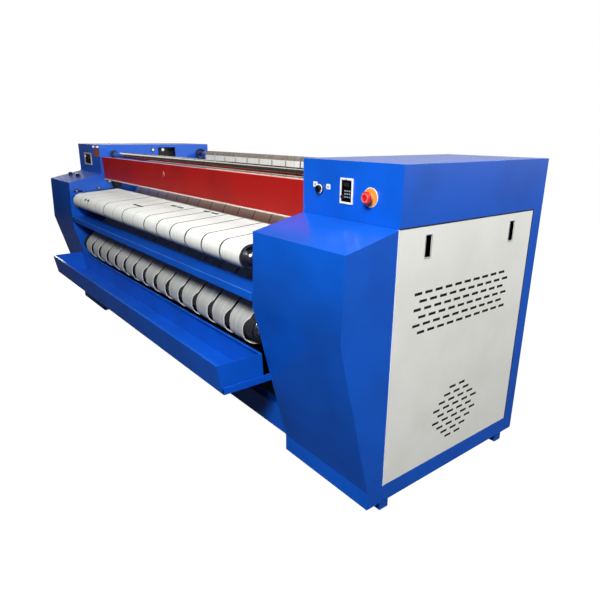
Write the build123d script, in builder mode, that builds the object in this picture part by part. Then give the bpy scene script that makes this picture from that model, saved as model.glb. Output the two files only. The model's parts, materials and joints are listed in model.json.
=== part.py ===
from build123d import *
import math
import os

# Flatwork ironer: a heated drum between two end cabinets, with a belt conveyor that feeds the
# linen in at the front and endless ironing belts that carry it round the drum and back out.
# Millimetres. X runs along the drum, -Y is the operator's side, Z = 0 is the floor.

# ---------------------------------------------------------------- overall sizes
working_width = 2500.0  # clear width between the two end cabinets
cabinet_width = 528.0
housing_depth = 924.0  # front face to rear face of the upper housings
overall_height = 1349.0
tray_overhang = 428.0  # the linen tray's front edge, ahead of the housings' front faces

# ---------------------------------------------------------------- sheet and plate
side_plate_sheet = 6.0
cover_sheet = 2.0
plinth_sheet = 4.0
beam_sheet = 3.0

# ---------------------------------------------------------------- clearances
running_gap = 0.05  # shaft in its bore, on the radius
belt_gap = 0.3  # belt to roller, and belt to drum
belt_flat_depth = 1.2  # how far a belt's turn, drawn in short flats, stands off its true arc
seam_gap = 1.5  # round a lift-off panel
rest_gap = 0.3  # under a lift-off panel
hole_gap = 4.0  # journal through a side plate, on the radius

# ---------------------------------------------------------------- cabinet profile
foot_height = 42.0
plinth_height = 76.0
band_height = 215.0  # instrument band at the top of each housing
brow_drop = 270.0  # top of the housing down to the console's front top edge
belly_drop = 578.0  # top of the housing down to the console's lower front edge
console_foot_reach = 89.0  # the console's three front edges, ahead of the housing's front
console_belly_reach = 256.0
console_brow_reach = 248.0
rear_post_width = 72.0
panel_flange = 18.0

# ---------------------------------------------------------------- ironing section
drum_radius = 300.0
drum_wall = 12.0
drum_drop = 484.0  # top of the housing down to the drum's axis
drum_setback = 502.0  # front face of the housing back to the drum's axis
drum_end_gap = 55.0  # drum's end to the side plate
drum_end_thickness = 15.0
drum_journal_radius = 45.0
drum_journal_bore = 34.0
drum_journal_end = 138.0  # how far the journals reach past the side plates' inner faces
iron_belt_count = 14
iron_belt_slit = 11.0
iron_set_margin = 262.6  # working width that the set of belts leaves free, both ends together
iron_belt_thickness = 4.0
iron_belt_shift = 22.0  # the whole set sits a little to the right
nip_radius = 35.0
nip_angle = 163.5  # from the drum's rear horizontal, over its top
nip_clearance = 21.5  # between the belts on the roller and on the drum
return_radius = 64.0
return_reach = 148.0  # ahead of the housing's front face
return_drop = 721.0
rear_radius = 28.0
rear_inset = 72.0  # rear face of the housing forward to the rear rollers' axes
rear_top_drop = 82.0
rear_lower_gap = 45.0  # the drum's underside down to the rear lower roller's axis

# ---------------------------------------------------------------- feed conveyor
feed_belt_count = 14
feed_belt_seam = 4.0
feed_set_margin = 180.0
feed_belt_thickness = 3.0
feed_front_radius = 49.5
feed_front_reach = 203.0  # ahead of the housing's front face
feed_front_drop = 394.0
feed_rear_radius = 25.0
feed_rear_step = 74.0  # the rear feed roller stands this far ahead of the nip roller
feed_rear_rise = 30.0

# ---------------------------------------------------------------- rollers and bearings
barrel_end_gap = 80.0  # roller's barrel to the side plate
barrel_wall = 5.0
roller_end_recess = 9.0
roller_disc = 8.0
journal_radius = 15.0
journal_end_gap = 0.5  # a blind journal's end to the side plate
bearing_length = 24.0
bearing_flange = 9.0
bearing_boss_radius = 27.0
boss_flats = 12
feed_bearing_flange = 58.0
roller_bearing_flange = 84.0
drum_bearing_length = 44.0
drum_bearing_flange = 18.0
drum_bearing_flange_size = 200.0
drum_bearing_boss_radius = 78.0

# ---------------------------------------------------------------- drive
pulley_start = 64.0  # side plate's inner face out to the pulleys
pulley_width = 44.0
drum_pulley_radius = 200.0
drive_pulley_radius = 62.0
drive_belt_width = 38.0
drive_belt_thickness = 4.0
feed_drum_pulley_radius = 150.0
motor_setback = 322.0
motor_axis_height = 330.0
gearbox_size = 160.0
motor_radius = 75.0
motor_length = 170.0

# ---------------------------------------------------------------- guard
guard_height = 166.0
guard_top_drop = 88.0
guard_sheet = 2.0
guard_flange = 22.0
guard_setback = 10.0  # behind the housing's front face, at the top edge
guard_lean = 9.0  # the bottom edge lies this much further back
guard_end_gap = 5.0
guard_pin_radius = 5.0

# ---------------------------------------------------------------- tray and beams
tray_top_drop = 796.0
tray_depth = 130.0
tray_top_width = 220.0
tray_bottom_width = 205.0
tray_front_lean = 23.0
tray_end_gap = 10.0  # tray's end to the side plate
tray_sheet = 2.0
tray_lip = 14.0
tray_arm_leg = 30.0
beam_top_drop = 518.0
beam_height = 36.0
beam_width = 107.0
beam_reach = 258.0
low_beam_height = 117.0
low_beam_width = 50.0
low_beam_reach = 86.0
stay_tube_radius = 23.0
stay_tube_setback = 112.0
stay_tube_drop = 73.0

# ---------------------------------------------------------------- frame worked out from the above
half_width = working_width / 2
plate_outer = half_width + side_plate_sheet
outer_x = half_width + cabinet_width
cabinet_mid_x = half_width + cabinet_width / 2
front_y = (tray_overhang - housing_depth) / 2
rear_y = front_y + housing_depth
base_z = foot_height + plinth_height
band_z = overall_height - band_height
plinth_front_y = front_y - console_foot_reach
panel_front_y = front_y - 3.0
panel_rear_y = rear_y - rear_post_width
barrel_half = half_width - barrel_end_gap
drum_half = half_width - drum_end_gap
iron_belt_pitch = (working_width - iron_set_margin + iron_belt_slit) / iron_belt_count
iron_belt_width = iron_belt_pitch - iron_belt_slit
feed_belt_pitch = (working_width - feed_set_margin + feed_belt_seam) / feed_belt_count
feed_belt_width = feed_belt_pitch - feed_belt_seam
SIDES = (-1, 1)

drum_y = front_y + drum_setback
drum_z = overall_height - drum_drop
nip_distance = drum_radius + 2 * (belt_gap + iron_belt_thickness) + nip_radius + nip_clearance
nip_y = drum_y + nip_distance * math.cos(math.radians(nip_angle))
nip_z = drum_z + nip_distance * math.sin(math.radians(nip_angle))
return_y = front_y - return_reach
return_z = overall_height - return_drop
rear_roller_y = rear_y - rear_inset
rear_top_z = overall_height - rear_top_drop
rear_lower_z = drum_z - drum_radius - rear_lower_gap
feed_front_y = front_y - feed_front_reach
feed_front_z = overall_height - feed_front_drop
feed_rear_y = nip_y - feed_rear_step
feed_rear_z = nip_z + feed_rear_rise
motor_y = front_y + motor_setback

console_outline = [
    (front_y - console_foot_reach, base_z),
    (front_y - console_belly_reach, overall_height - belly_drop),
    (front_y - console_brow_reach, overall_height - brow_drop),
    (front_y, band_z),
]
console_slope = math.atan2(brow_drop - band_height, console_brow_reach)


def save(builder, name):
    """Label one finished piece and write its file."""
    builder.part.label = name
    export_step(builder.part, "parts/" + name + ".step")
    print(name, len(builder.part.solids()))


def tangent_points(first, second):
    """Where a belt leaves one wheel and meets the next.

    A wheel is (y, z, radius, turn): turn is 1 where the belt runs round it anticlockwise
    and -1 where it runs clockwise.
    """
    span_y = second[0] - first[0]
    span_z = second[1] - first[1]
    first_reach = first[2] * first[3]
    second_reach = second[2] * second[3]
    lean = math.asin((second_reach - first_reach) / math.hypot(span_y, span_z))
    heading = math.atan2(span_z, span_y) - lean
    normal_y = -math.sin(heading)
    normal_z = math.cos(heading)
    leave = (first[0] - first_reach * normal_y, first[1] - first_reach * normal_z)
    meet = (second[0] - second_reach * normal_y, second[1] - second_reach * normal_z)
    return leave, meet


def belt_line(wheels):
    """Draw one face of an endless belt: straight runs, and short flats round each wheel.

    The flats touch the wheel's circle from outside, so a belt stays clear of its wheel.
    """
    runs = [tangent_points(wheels[i - 1], wheels[i]) for i in range(len(wheels))]
    corners = []
    for i, (centre_y, centre_z, radius, turn) in enumerate(wheels):
        meet = runs[i][1]
        leave = runs[(i + 1) % len(wheels)][0]
        start = math.atan2(meet[1] - centre_z, meet[0] - centre_y)
        end = math.atan2(leave[1] - centre_z, leave[0] - centre_y)
        sweep = (turn * (end - start)) % (2 * math.pi)
        flats = math.ceil(sweep / (2 * math.acos(1 - belt_flat_depth / radius)))
        step = sweep / flats
        reach = radius / math.cos(step / 2)
        for flat in range(flats):
            angle = start + turn * (flat + 0.5) * step
            corner_y = centre_y + reach * math.cos(angle)
            corner_z = centre_z + reach * math.sin(angle)
            corners.append((corner_y, corner_z))
    Polyline(*corners, close=True)


def belt_faces(wheels, thickness):
    """The two faces of a belt of this thickness: the one on the wheels and the outer one.

    A wheel that the belt passes with its outer face turns the other way.
    """
    near = [(y, z, r + belt_gap + (thickness if turn < 0 else 0), turn) for y, z, r, turn in wheels]
    far = [(y, z, r + belt_gap + (0 if turn < 0 else thickness), turn) for y, z, r, turn in wheels]
    return near, far


def endless_belts(name, belt_sets, thickness, width):
    """Endless belts, in sets of one path each, every belt from its own left edge."""
    with BuildPart() as belts:
        for wheels, left_edges in belt_sets:
            near, far = belt_faces(wheels, thickness)
            with BuildSketch(*[Plane.YZ.offset(x) for x in left_edges]):
                with BuildLine():
                    belt_line(far)
                make_face()
                with BuildLine():
                    belt_line(near)
                make_face(mode=Mode.SUBTRACT)
            extrude(amount=width)
    save(belts, name)


def box_between(x_span, y_span, z_span, mode=Mode.ADD):
    """A block given by its two ends along each axis."""
    middle = tuple((a + b) / 2 for a, b in (x_span, y_span, z_span))
    size = [abs(b - a) for a, b in (x_span, y_span, z_span)]
    with Locations(middle):
        Box(size[0], size[1], size[2], mode=mode)


def turned_roller(name, y, z, profile):
    """Revolve a half profile, drawn from left to right, round a roller's axis."""
    axis_plane = Plane(origin=(0, y, z), x_dir=(1, 0, 0), z_dir=(0, -1, 0))
    with BuildPart() as body:
        with BuildSketch(axis_plane):
            with BuildLine():
                Polyline(*profile, close=True)
            make_face()
        revolve(axis=Axis((0, y, z), (1, 0, 0)))
    save(body, name)


def tube_roller(name, y, z, radius, right_end, left_shaft):
    """A tube with set-in end discs and a journal at each end.

    The left end's outline beyond its disc comes as a list, because it may carry a pulley.
    """
    inner = radius - barrel_wall
    disc_out = barrel_half - roller_end_recess
    disc_in = disc_out - roller_disc
    profile = [
        *left_shaft,
        (-disc_out, journal_radius),
        (-disc_out, inner),
        (-barrel_half, inner),
        (-barrel_half, radius),
        (barrel_half, radius),
        (barrel_half, inner),
        (disc_out, inner),
        (disc_out, journal_radius),
        (right_end, journal_radius),
        (right_end, 0),
        (disc_in, 0),
        (disc_in, inner),
        (-disc_in, inner),
        (-disc_in, 0),
    ]
    turned_roller(name, y, z, profile)


def bar_roller(name, y, z, radius, end):
    """A slim roller turned from solid bar, with a journal at each end."""
    profile = [
        (-end, 0),
        (-end, journal_radius),
        (-barrel_half, journal_radius),
        (-barrel_half, radius),
        (barrel_half, radius),
        (barrel_half, journal_radius),
        (end, journal_radius),
        (end, 0),
    ]
    turned_roller(name, y, z, profile)


def bearings(name, seats, length, flange_size, flange, boss_radius, bore):
    """Flange bearings: a square flange and a boss with turned flats, bored for the journal.

    A seat is (x, side, y, z): the face it is bolted to and the way it stands off.
    """
    with BuildPart() as body:
        for x, side, y, z in seats:
            face = Plane.YZ.offset(x)
            with BuildSketch(face):
                with Locations((y, z)):
                    Rectangle(flange_size, flange_size)
            extrude(amount=side * flange)
            with BuildSketch(face):
                with Locations((y, z)):
                    RegularPolygon(radius=boss_radius, side_count=boss_flats)
            extrude(amount=side * length)
            with BuildSketch(face):
                with Locations((y, z)):
                    Circle(bore)
            extrude(amount=side * length, mode=Mode.SUBTRACT)
    save(body, name)


os.makedirs("parts", exist_ok=True)

# ================================================================ base
with BuildPart() as plinths:
    plinth_depth = rear_y - plinth_front_y
    plinth_mid_y = (rear_y + plinth_front_y) / 2
    plinth_middles = [(side * cabinet_mid_x, plinth_mid_y) for side in SIDES]
    with BuildSketch(Plane.XY.offset(foot_height)):
        with Locations(*plinth_middles):
            Rectangle(cabinet_width, plinth_depth)
    extrude(amount=plinth_height)
    with BuildSketch(Plane.XY.offset(foot_height + plinth_sheet)):
        with Locations(*plinth_middles):
            Rectangle(cabinet_width - 2 * plinth_sheet, plinth_depth - 2 * plinth_sheet)
    extrude(amount=plinth_height, mode=Mode.SUBTRACT)
save(plinths, "plinths")

with BuildPart() as levelling_feet:
    foot_inset_x = 28.0
    front_foot_setback = 15.0
    rear_foot_inset = 98.0
    pad_height = 34.0
    pad_size = (46.0, 48.0)
    foot_hex_radius = 15.0
    foot_places = [
        (side * x, y)
        for side in SIDES
        for x in (half_width + foot_inset_x, outer_x - foot_inset_x)
        for y in (front_y + front_foot_setback, rear_y - rear_foot_inset)
    ]
    with BuildSketch(Plane.XY):
        with Locations(*foot_places):
            Rectangle(*pad_size)
    extrude(amount=pad_height)
    with BuildSketch(Plane.XY.offset(pad_height)):
        with Locations(*foot_places):
            RegularPolygon(radius=foot_hex_radius, side_count=6)
    extrude(amount=foot_height - pad_height)
save(levelling_feet, "levelling_feet")

# ================================================================ side plates
duct_window = (front_y + 472.0, front_y + 622.0)
duct_window_drop = (23.0, 114.0)
take_up_slot_drop = 336.0  # tension slot above the front feed roller
take_up_slot_reach = 186.0
take_up_slot_size = (72.0, 10.0)
journal_holes = [
    (drum_y, drum_z, drum_journal_radius),
    (nip_y, nip_z, journal_radius),
    (return_y, return_z, journal_radius),
    (rear_roller_y, rear_lower_z, journal_radius),
    (rear_roller_y, rear_top_z, journal_radius),
]
feed_drive_hole = (feed_front_y, feed_front_z, journal_radius)
for side, hand, holes in (
    (1, "right", journal_holes),
    (-1, "left", [*journal_holes, feed_drive_hole]),
):
    with BuildPart() as side_plate:
        with BuildSketch(Plane.YZ.offset(side * half_width)):
            with BuildLine():
                Polyline(
                    *console_outline,
                    (front_y, overall_height),
                    (rear_y, overall_height),
                    (rear_y, base_z),
                    close=True,
                )
            make_face()
            for hole_y, hole_z, journal in holes:
                with Locations((hole_y, hole_z)):
                    Circle(journal + hole_gap, mode=Mode.SUBTRACT)
            window_z = overall_height - sum(duct_window_drop) / 2
            with Locations((sum(duct_window) / 2, window_z)):
                Rectangle(
                    duct_window[1] - duct_window[0],
                    duct_window_drop[1] - duct_window_drop[0],
                    mode=Mode.SUBTRACT,
                )
            with Locations((front_y - take_up_slot_reach, overall_height - take_up_slot_drop)):
                Rectangle(*take_up_slot_size, mode=Mode.SUBTRACT)
        extrude(amount=side * side_plate_sheet)
    save(side_plate, "side_plate_" + hand)

with BuildPart() as duct_boxes:
    duct_depth = 60.0
    duct_rim = 12.0
    duct_sheet = 1.5
    duct_size = (
        duct_window[1] - duct_window[0] + 2 * duct_rim,
        duct_window_drop[1] - duct_window_drop[0] + duct_rim,
    )
    duct_middle = (sum(duct_window) / 2, overall_height - sum(duct_window_drop) / 2 - duct_rim / 2)
    for side in SIDES:
        with BuildSketch(Plane.YZ.offset(side * plate_outer)):
            with Locations(duct_middle):
                Rectangle(*duct_size)
        extrude(amount=side * duct_depth)
        with BuildSketch(Plane.YZ.offset(side * plate_outer)):
            with Locations(duct_middle):
                Rectangle(duct_size[0] - 2 * duct_sheet, duct_size[1] - 2 * duct_sheet)
        extrude(amount=side * (duct_depth - duct_sheet), mode=Mode.SUBTRACT)
save(duct_boxes, "duct_boxes")

# ================================================================ covers
hand_slot_size = (34.0, 84.0)
hand_slot_inset = 156.0  # panel's front or rear edge to the slot's middle
hand_slot_drop = 72.0
vent_slot = (40.0, 9.0)
wide_rows = 6
wide_columns = 10
wide_pitch = (60.0, 31.0)
wide_middle = (panel_front_y + 410.0, band_z - 324.5)
round_rows = (2, 3, 4, 5, 4, 5, 4, 3, 2)
round_pitch = (64.0, 29.25)
round_middle = (panel_front_y + 430.0, base_z + 197.0)
for side, hand in ((1, "right"), (-1, "left")):
    inner_face = side * plate_outer
    cover_length = outer_x - plate_outer

    with BuildPart() as console_cover:
        cheek_top_z = band_z - (front_y - panel_front_y) * math.tan(console_slope)
        with BuildSketch(Plane.YZ.offset(inner_face)):
            with BuildLine():
                Polyline(
                    *console_outline[:3],
                    (panel_front_y, cheek_top_z),
                    (panel_front_y, base_z),
                    close=True,
                )
            make_face()
        extrude(amount=side * cover_length)
        open_faces = [
            console_cover.faces().sort_by(Axis.Y)[-1],
            console_cover.faces().sort_by(Axis.Z)[0],
            console_cover.faces().sort_by(Axis.X)[0 if side > 0 else -1],
        ]
        offset(amount=-cover_sheet, openings=open_faces)
        # folded strip that closes the console up to the housing's front
        with BuildSketch(Plane.YZ.offset(inner_face)):
            with BuildLine():
                Polyline(
                    (panel_front_y, cheek_top_z),
                    (front_y, band_z),
                    (front_y + cover_sheet, band_z),
                    (front_y + cover_sheet, band_z - cover_sheet),
                    (panel_front_y, cheek_top_z - cover_sheet),
                    close=True,
                )
            make_face()
        extrude(amount=side * (cover_length - panel_flange - seam_gap))
    save(console_cover, "console_cover_" + hand)

    with BuildPart() as housing:
        box_between(
            (inner_face, side * outer_x), (front_y, rear_y), (band_z, overall_height)
        )
        open_faces = [
            housing.faces().sort_by(Axis.Z)[0],
            housing.faces().sort_by(Axis.X)[0 if side > 0 else -1],
        ]
        offset(amount=-cover_sheet, openings=open_faces)
    save(housing, "housing_" + hand)

    with BuildPart() as access_panel:
        skin_x = side * (outer_x - cover_sheet)
        panel_y = (panel_front_y + seam_gap, panel_rear_y - seam_gap)
        panel_z = (base_z + rest_gap, band_z - seam_gap)
        box_between((side * (outer_x - panel_flange), side * outer_x), panel_y, panel_z)
        offset(
            amount=-cover_sheet,
            openings=access_panel.faces().sort_by(Axis.X)[0 if side > 0 else -1],
        )
        with BuildSketch(Plane.YZ.offset(skin_x)):
            slot_z = band_z - hand_slot_drop
            hand_slot_places = [
                (panel_y[0] + hand_slot_inset, slot_z),
                (panel_y[1] - hand_slot_inset, slot_z),
            ]
            with Locations(*hand_slot_places):
                Rectangle(*hand_slot_size)
        extrude(amount=side * cover_sheet, mode=Mode.SUBTRACT)
        if hand == "right":
            # vents beside the drive: a wide field of staggered rows, and a round one below it
            stagger = wide_pitch[0] / 4
            with BuildSketch(Plane.YZ.offset(skin_x)):
                for shift, rise in ((-stagger, wide_pitch[1] / 2), (stagger, -wide_pitch[1] / 2)):
                    with Locations((wide_middle[0] + shift, wide_middle[1] + rise)):
                        with GridLocations(
                            wide_pitch[0], 2 * wide_pitch[1], wide_columns, wide_rows // 2
                        ):
                            Rectangle(*vent_slot)
                for row, count in enumerate(round_rows):
                    row_z = round_middle[1] + (len(round_rows) // 2 - row) * round_pitch[1]
                    with Locations((round_middle[0], row_z)):
                        with GridLocations(round_pitch[0], 1, count, 1):
                            Rectangle(*vent_slot)
            extrude(amount=side * cover_sheet, mode=Mode.SUBTRACT)
    save(access_panel, "access_panel_" + hand)

with BuildPart() as rear_covers:
    post_return = 20.0
    for side in SIDES:
        with BuildSketch(Plane.XY.offset(base_z)):
            with BuildLine():
                Polyline(
                    (side * plate_outer, rear_y),
                    (side * outer_x, rear_y),
                    (side * outer_x, panel_rear_y),
                    (side * (outer_x - post_return), panel_rear_y),
                    (side * (outer_x - post_return), panel_rear_y + cover_sheet),
                    (side * (outer_x - cover_sheet), panel_rear_y + cover_sheet),
                    (side * (outer_x - cover_sheet), rear_y - cover_sheet),
                    (side * plate_outer, rear_y - cover_sheet),
                    close=True,
                )
            make_face()
        extrude(amount=band_z - base_z)
save(rear_covers, "rear_covers")

# ================================================================ cross members
with BuildPart() as upper_beam:
    beam_front = front_y - beam_reach
    beam_back = beam_front + beam_width
    beam_top = overall_height - beam_top_drop
    with BuildSketch(Plane.YZ.offset(-half_width)):
        with BuildLine():
            Polyline(
                (beam_front, beam_top),
                (beam_back, beam_top),
                (beam_back, beam_top - beam_height),
                (beam_back - beam_sheet, beam_top - beam_height),
                (beam_back - beam_sheet, beam_top - beam_sheet),
                (beam_front + beam_sheet, beam_top - beam_sheet),
                (beam_front + beam_sheet, beam_top - beam_height),
                (beam_front, beam_top - beam_height),
                close=True,
            )
        make_face()
    extrude(amount=working_width)
save(upper_beam, "upper_beam")

low_beam_front = front_y - low_beam_reach
low_beam_rear = rear_y - low_beam_width
with BuildPart() as lower_beams:
    low_beam_middle_z = base_z + low_beam_height / 2
    with BuildSketch(Plane.YZ.offset(-half_width)):
        for beam_y in (low_beam_front, low_beam_rear):
            with Locations((beam_y + low_beam_width / 2, low_beam_middle_z)):
                Rectangle(low_beam_width, low_beam_height)
                Rectangle(
                    low_beam_width - 2 * beam_sheet,
                    low_beam_height - 2 * beam_sheet,
                    mode=Mode.SUBTRACT,
                )
    extrude(amount=working_width)
save(lower_beams, "lower_beams")

with BuildPart() as catch_pan:
    pan_rise = 32.0
    pan_wall = 30.0
    pan_front = low_beam_front + low_beam_width
    pan_bottom = base_z + pan_rise
    with BuildSketch(Plane.YZ.offset(-half_width)):
        with BuildLine():
            Polyline(
                (pan_front, pan_bottom + pan_wall),
                (pan_front, pan_bottom),
                (low_beam_rear, pan_bottom),
                (low_beam_rear, pan_bottom + pan_wall),
                (low_beam_rear - cover_sheet, pan_bottom + pan_wall),
                (low_beam_rear - cover_sheet, pan_bottom + cover_sheet),
                (pan_front + cover_sheet, pan_bottom + cover_sheet),
                (pan_front + cover_sheet, pan_bottom + pan_wall),
                close=True,
            )
        make_face()
    extrude(amount=working_width)
save(catch_pan, "catch_pan")

with BuildPart() as back_panel:
    back_fold = 18.0
    back_inset = 8.0
    back_top = overall_height - 124.0
    back_y = rear_y - back_inset
    back_bottom = base_z + low_beam_height
    with BuildSketch(Plane.YZ.offset(-half_width)):
        with BuildLine():
            Polyline(
                (back_y, back_bottom),
                (back_y, back_top),
                (back_y - back_fold, back_top),
                (back_y - back_fold, back_top - cover_sheet),
                (back_y - cover_sheet, back_top - cover_sheet),
                (back_y - cover_sheet, back_bottom + cover_sheet),
                (back_y - back_fold, back_bottom + cover_sheet),
                (back_y - back_fold, back_bottom),
                close=True,
            )
        make_face()
    extrude(amount=working_width)
save(back_panel, "back_panel")

stay_tube_y = front_y + stay_tube_setback
stay_tube_z = overall_height - stay_tube_drop
with BuildPart() as front_stay_tube:
    with BuildSketch(Plane.YZ.offset(-half_width)):
        with Locations((stay_tube_y, stay_tube_z)):
            Circle(stay_tube_radius)
            Circle(stay_tube_radius - beam_sheet, mode=Mode.SUBTRACT)
    extrude(amount=working_width)
save(front_stay_tube, "front_stay_tube")

with BuildPart() as tube_collars:
    collar_radius = 33.0
    collar_length = 12.0
    collar_gap = 0.2
    collar_flats = 16
    for side in SIDES:
        with BuildSketch(Plane.YZ.offset(side * half_width)):
            with Locations((stay_tube_y, stay_tube_z)):
                RegularPolygon(radius=collar_radius, side_count=collar_flats)
                Circle(stay_tube_radius + collar_gap, mode=Mode.SUBTRACT)
        extrude(amount=-side * collar_length)
save(tube_collars, "tube_collars")

# ================================================================ linen tray
tray_front = front_y - tray_overhang
tray_top = overall_height - tray_top_drop
tray_bottom = tray_top - tray_depth
tray_half = half_width - tray_end_gap
with BuildPart() as linen_tray:
    tray_back = tray_front + tray_top_width
    with BuildSketch(Plane.YZ.offset(-tray_half)):
        with BuildLine():
            Polyline(
                (tray_front, tray_top),
                (tray_front + tray_front_lean, tray_bottom),
                (tray_front + tray_front_lean + tray_bottom_width, tray_bottom),
                (tray_back, tray_top),
                close=True,
            )
        make_face()
    extrude(amount=2 * tray_half)
    offset(amount=-tray_sheet, openings=linen_tray.faces().sort_by(Axis.Z)[-1])
    # folded lips along the two long edges
    for lip_start in (tray_front + tray_sheet, tray_back - tray_lip):
        box_between(
            (-tray_half, tray_half),
            (lip_start, lip_start + tray_lip - tray_sheet),
            (tray_top - tray_sheet, tray_top),
        )
save(linen_tray, "linen_tray")

with BuildPart() as tray_arms:
    arm_sheet = 3.0
    arm_length = 325.0
    arm_start = tray_front + tray_front_lean + 2.0
    for side in SIDES:
        leg_x = side * half_width
        arm_y = (arm_start, arm_start + arm_length)
        box_between(
            (leg_x, leg_x - side * arm_sheet), arm_y, (tray_bottom, tray_bottom + tray_arm_leg)
        )
        box_between(
            (leg_x, leg_x - side * tray_arm_leg), arm_y, (tray_bottom - arm_sheet, tray_bottom)
        )
save(tray_arms, "tray_arms")

# ================================================================ feed conveyor
feed_wheels = [
    (feed_front_y, feed_front_z, feed_front_radius, 1),
    (feed_rear_y, feed_rear_z, feed_rear_radius, 1),
]
feed_journal_end = half_width - journal_end_gap
drive_belt_offset = belt_gap + drive_belt_thickness / 2
feed_speed_ratio = drum_radius / (feed_front_radius + belt_gap + feed_belt_thickness / 2)
feed_pulley_radius = (feed_drum_pulley_radius + drive_belt_offset) / feed_speed_ratio
feed_pulley_radius = feed_pulley_radius - drive_belt_offset
feed_pulley_x = half_width + pulley_start
# the front roller's left journal runs out through the side plate and carries its drive pulley
tube_roller(
    "feed_roller_front", feed_front_y, feed_front_z, feed_front_radius, feed_journal_end,
    [
        (-feed_pulley_x - pulley_width, 0),
        (-feed_pulley_x - pulley_width, feed_pulley_radius),
        (-feed_pulley_x, feed_pulley_radius),
        (-feed_pulley_x, journal_radius),
    ],
)
bar_roller("feed_roller_rear", feed_rear_y, feed_rear_z, feed_rear_radius, feed_journal_end)
feed_bearing_seats = [
    (side * half_width, -side, y, z) for side in SIDES for y, z, _, _ in feed_wheels
]
bearings(
    "feed_bearings", feed_bearing_seats, bearing_length, feed_bearing_flange, bearing_flange,
    bearing_boss_radius, journal_radius + running_gap,
)

feed_first_edge = -(feed_belt_count * feed_belt_pitch - feed_belt_seam) / 2
feed_edges = [feed_first_edge + i * feed_belt_pitch for i in range(feed_belt_count)]
endless_belts("feed_belts", [(feed_wheels, feed_edges)], feed_belt_thickness, feed_belt_width)

with BuildPart() as feed_bed:
    # slider plate under the belts' top run, folded down at both long edges
    bed_sheet = 2.0
    bed_fold = 18.0
    bed_end_gap = 6.0
    bed_drop = 1.0
    top_run = tangent_points(
        (feed_rear_y, feed_rear_z, feed_rear_radius - bed_drop, 1),
        (feed_front_y, feed_front_z, feed_front_radius - bed_drop, 1),
    )
    run_length = math.dist(*top_run)
    run_lean = math.atan2(top_run[0][1] - top_run[1][1], top_run[0][0] - top_run[1][0])
    bed_plane = Plane(
        origin=(-half_width, top_run[1][0], top_run[1][1]),
        x_dir=(0, math.cos(run_lean), math.sin(run_lean)),
        z_dir=(1, 0, 0),
    )
    front_drop = feed_front_radius - bed_fold - bed_drop
    rear_drop = feed_rear_radius - bed_fold - bed_drop
    bed_start = math.sqrt(feed_front_radius**2 - front_drop**2) + bed_end_gap
    bed_end = run_length - math.sqrt(feed_rear_radius**2 - rear_drop**2) - bed_end_gap
    with BuildSketch(bed_plane):
        with BuildLine():
            Polyline(
                (bed_start, 0),
                (bed_end, 0),
                (bed_end, -bed_fold),
                (bed_end - bed_sheet, -bed_fold),
                (bed_end - bed_sheet, -bed_sheet),
                (bed_start + bed_sheet, -bed_sheet),
                (bed_start + bed_sheet, -bed_fold),
                (bed_start, -bed_fold),
                close=True,
            )
        make_face()
    extrude(amount=working_width)
save(feed_bed, "feed_bed")

# ================================================================ ironing section
iron_wheels = [
    (return_y, return_z, return_radius, 1),
    (rear_roller_y, rear_lower_z, rear_radius, 1),
    (rear_roller_y, rear_top_z, rear_radius, 1),
    (drum_y, drum_z, drum_radius, -1),
    (nip_y, nip_z, nip_radius, 1),
]
iron_journal_end = plate_outer + bearing_length + 4.0
iron_roller_axes = [
    (return_y, return_z),
    (nip_y, nip_z),
    (rear_roller_y, rear_top_z),
    (rear_roller_y, rear_lower_z),
]
tube_roller(
    "return_roller", return_y, return_z, return_radius, iron_journal_end,
    [(-iron_journal_end, 0), (-iron_journal_end, journal_radius)],
)
bar_roller("nip_roller", nip_y, nip_z, nip_radius, iron_journal_end)
bar_roller("rear_top_roller", rear_roller_y, rear_top_z, rear_radius, iron_journal_end)
bar_roller("rear_lower_roller", rear_roller_y, rear_lower_z, rear_radius, iron_journal_end)
roller_bearing_seats = [
    (side * plate_outer, side, y, z) for side in SIDES for y, z in iron_roller_axes
]
bearings(
    "roller_bearings", roller_bearing_seats, bearing_length, roller_bearing_flange, bearing_flange,
    bearing_boss_radius, journal_radius + running_gap,
)

iron_set_width = iron_belt_count * iron_belt_pitch - iron_belt_slit
iron_first_edge = iron_belt_shift - iron_set_width / 2
iron_edges = [iron_first_edge + i * iron_belt_pitch for i in range(iron_belt_count)]
endless_belts("ironing_belts", [(iron_wheels, iron_edges)], iron_belt_thickness, iron_belt_width)

drum_plane = Plane(origin=(0, drum_y, drum_z), x_dir=(1, 0, 0), z_dir=(0, -1, 0))
drum_axis = Axis((0, drum_y, drum_z), (1, 0, 0))
with BuildPart() as drum_shell:
    with BuildSketch(Plane.YZ.offset(-drum_half)):
        with Locations((drum_y, drum_z)):
            Circle(drum_radius)
            Circle(drum_radius - drum_wall, mode=Mode.SUBTRACT)
    extrude(amount=2 * drum_half)
save(drum_shell, "drum_shell")

with BuildPart() as drum_ends:
    # a set-in end plate and its hollow journal, one at each end
    end_seat_gap = 0.2
    end_setback = 12.0
    end_out = drum_half - end_setback
    plate_radius = drum_radius - drum_wall - end_seat_gap
    for side in SIDES:
        with BuildSketch(drum_plane):
            with BuildLine():
                Polyline(
                    (side * (end_out - drum_end_thickness), drum_journal_bore),
                    (side * (end_out - drum_end_thickness), plate_radius),
                    (side * end_out, plate_radius),
                    (side * end_out, drum_journal_radius),
                    (side * (half_width + drum_journal_end), drum_journal_radius),
                    (side * (half_width + drum_journal_end), drum_journal_bore),
                    close=True,
                )
            make_face()
    revolve(axis=drum_axis)
save(drum_ends, "drum_ends")

bearings(
    "drum_bearings", [(side * plate_outer, side, drum_y, drum_z) for side in SIDES],
    drum_bearing_length, drum_bearing_flange_size, drum_bearing_flange, drum_bearing_boss_radius,
    drum_journal_radius + running_gap,
)

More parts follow.
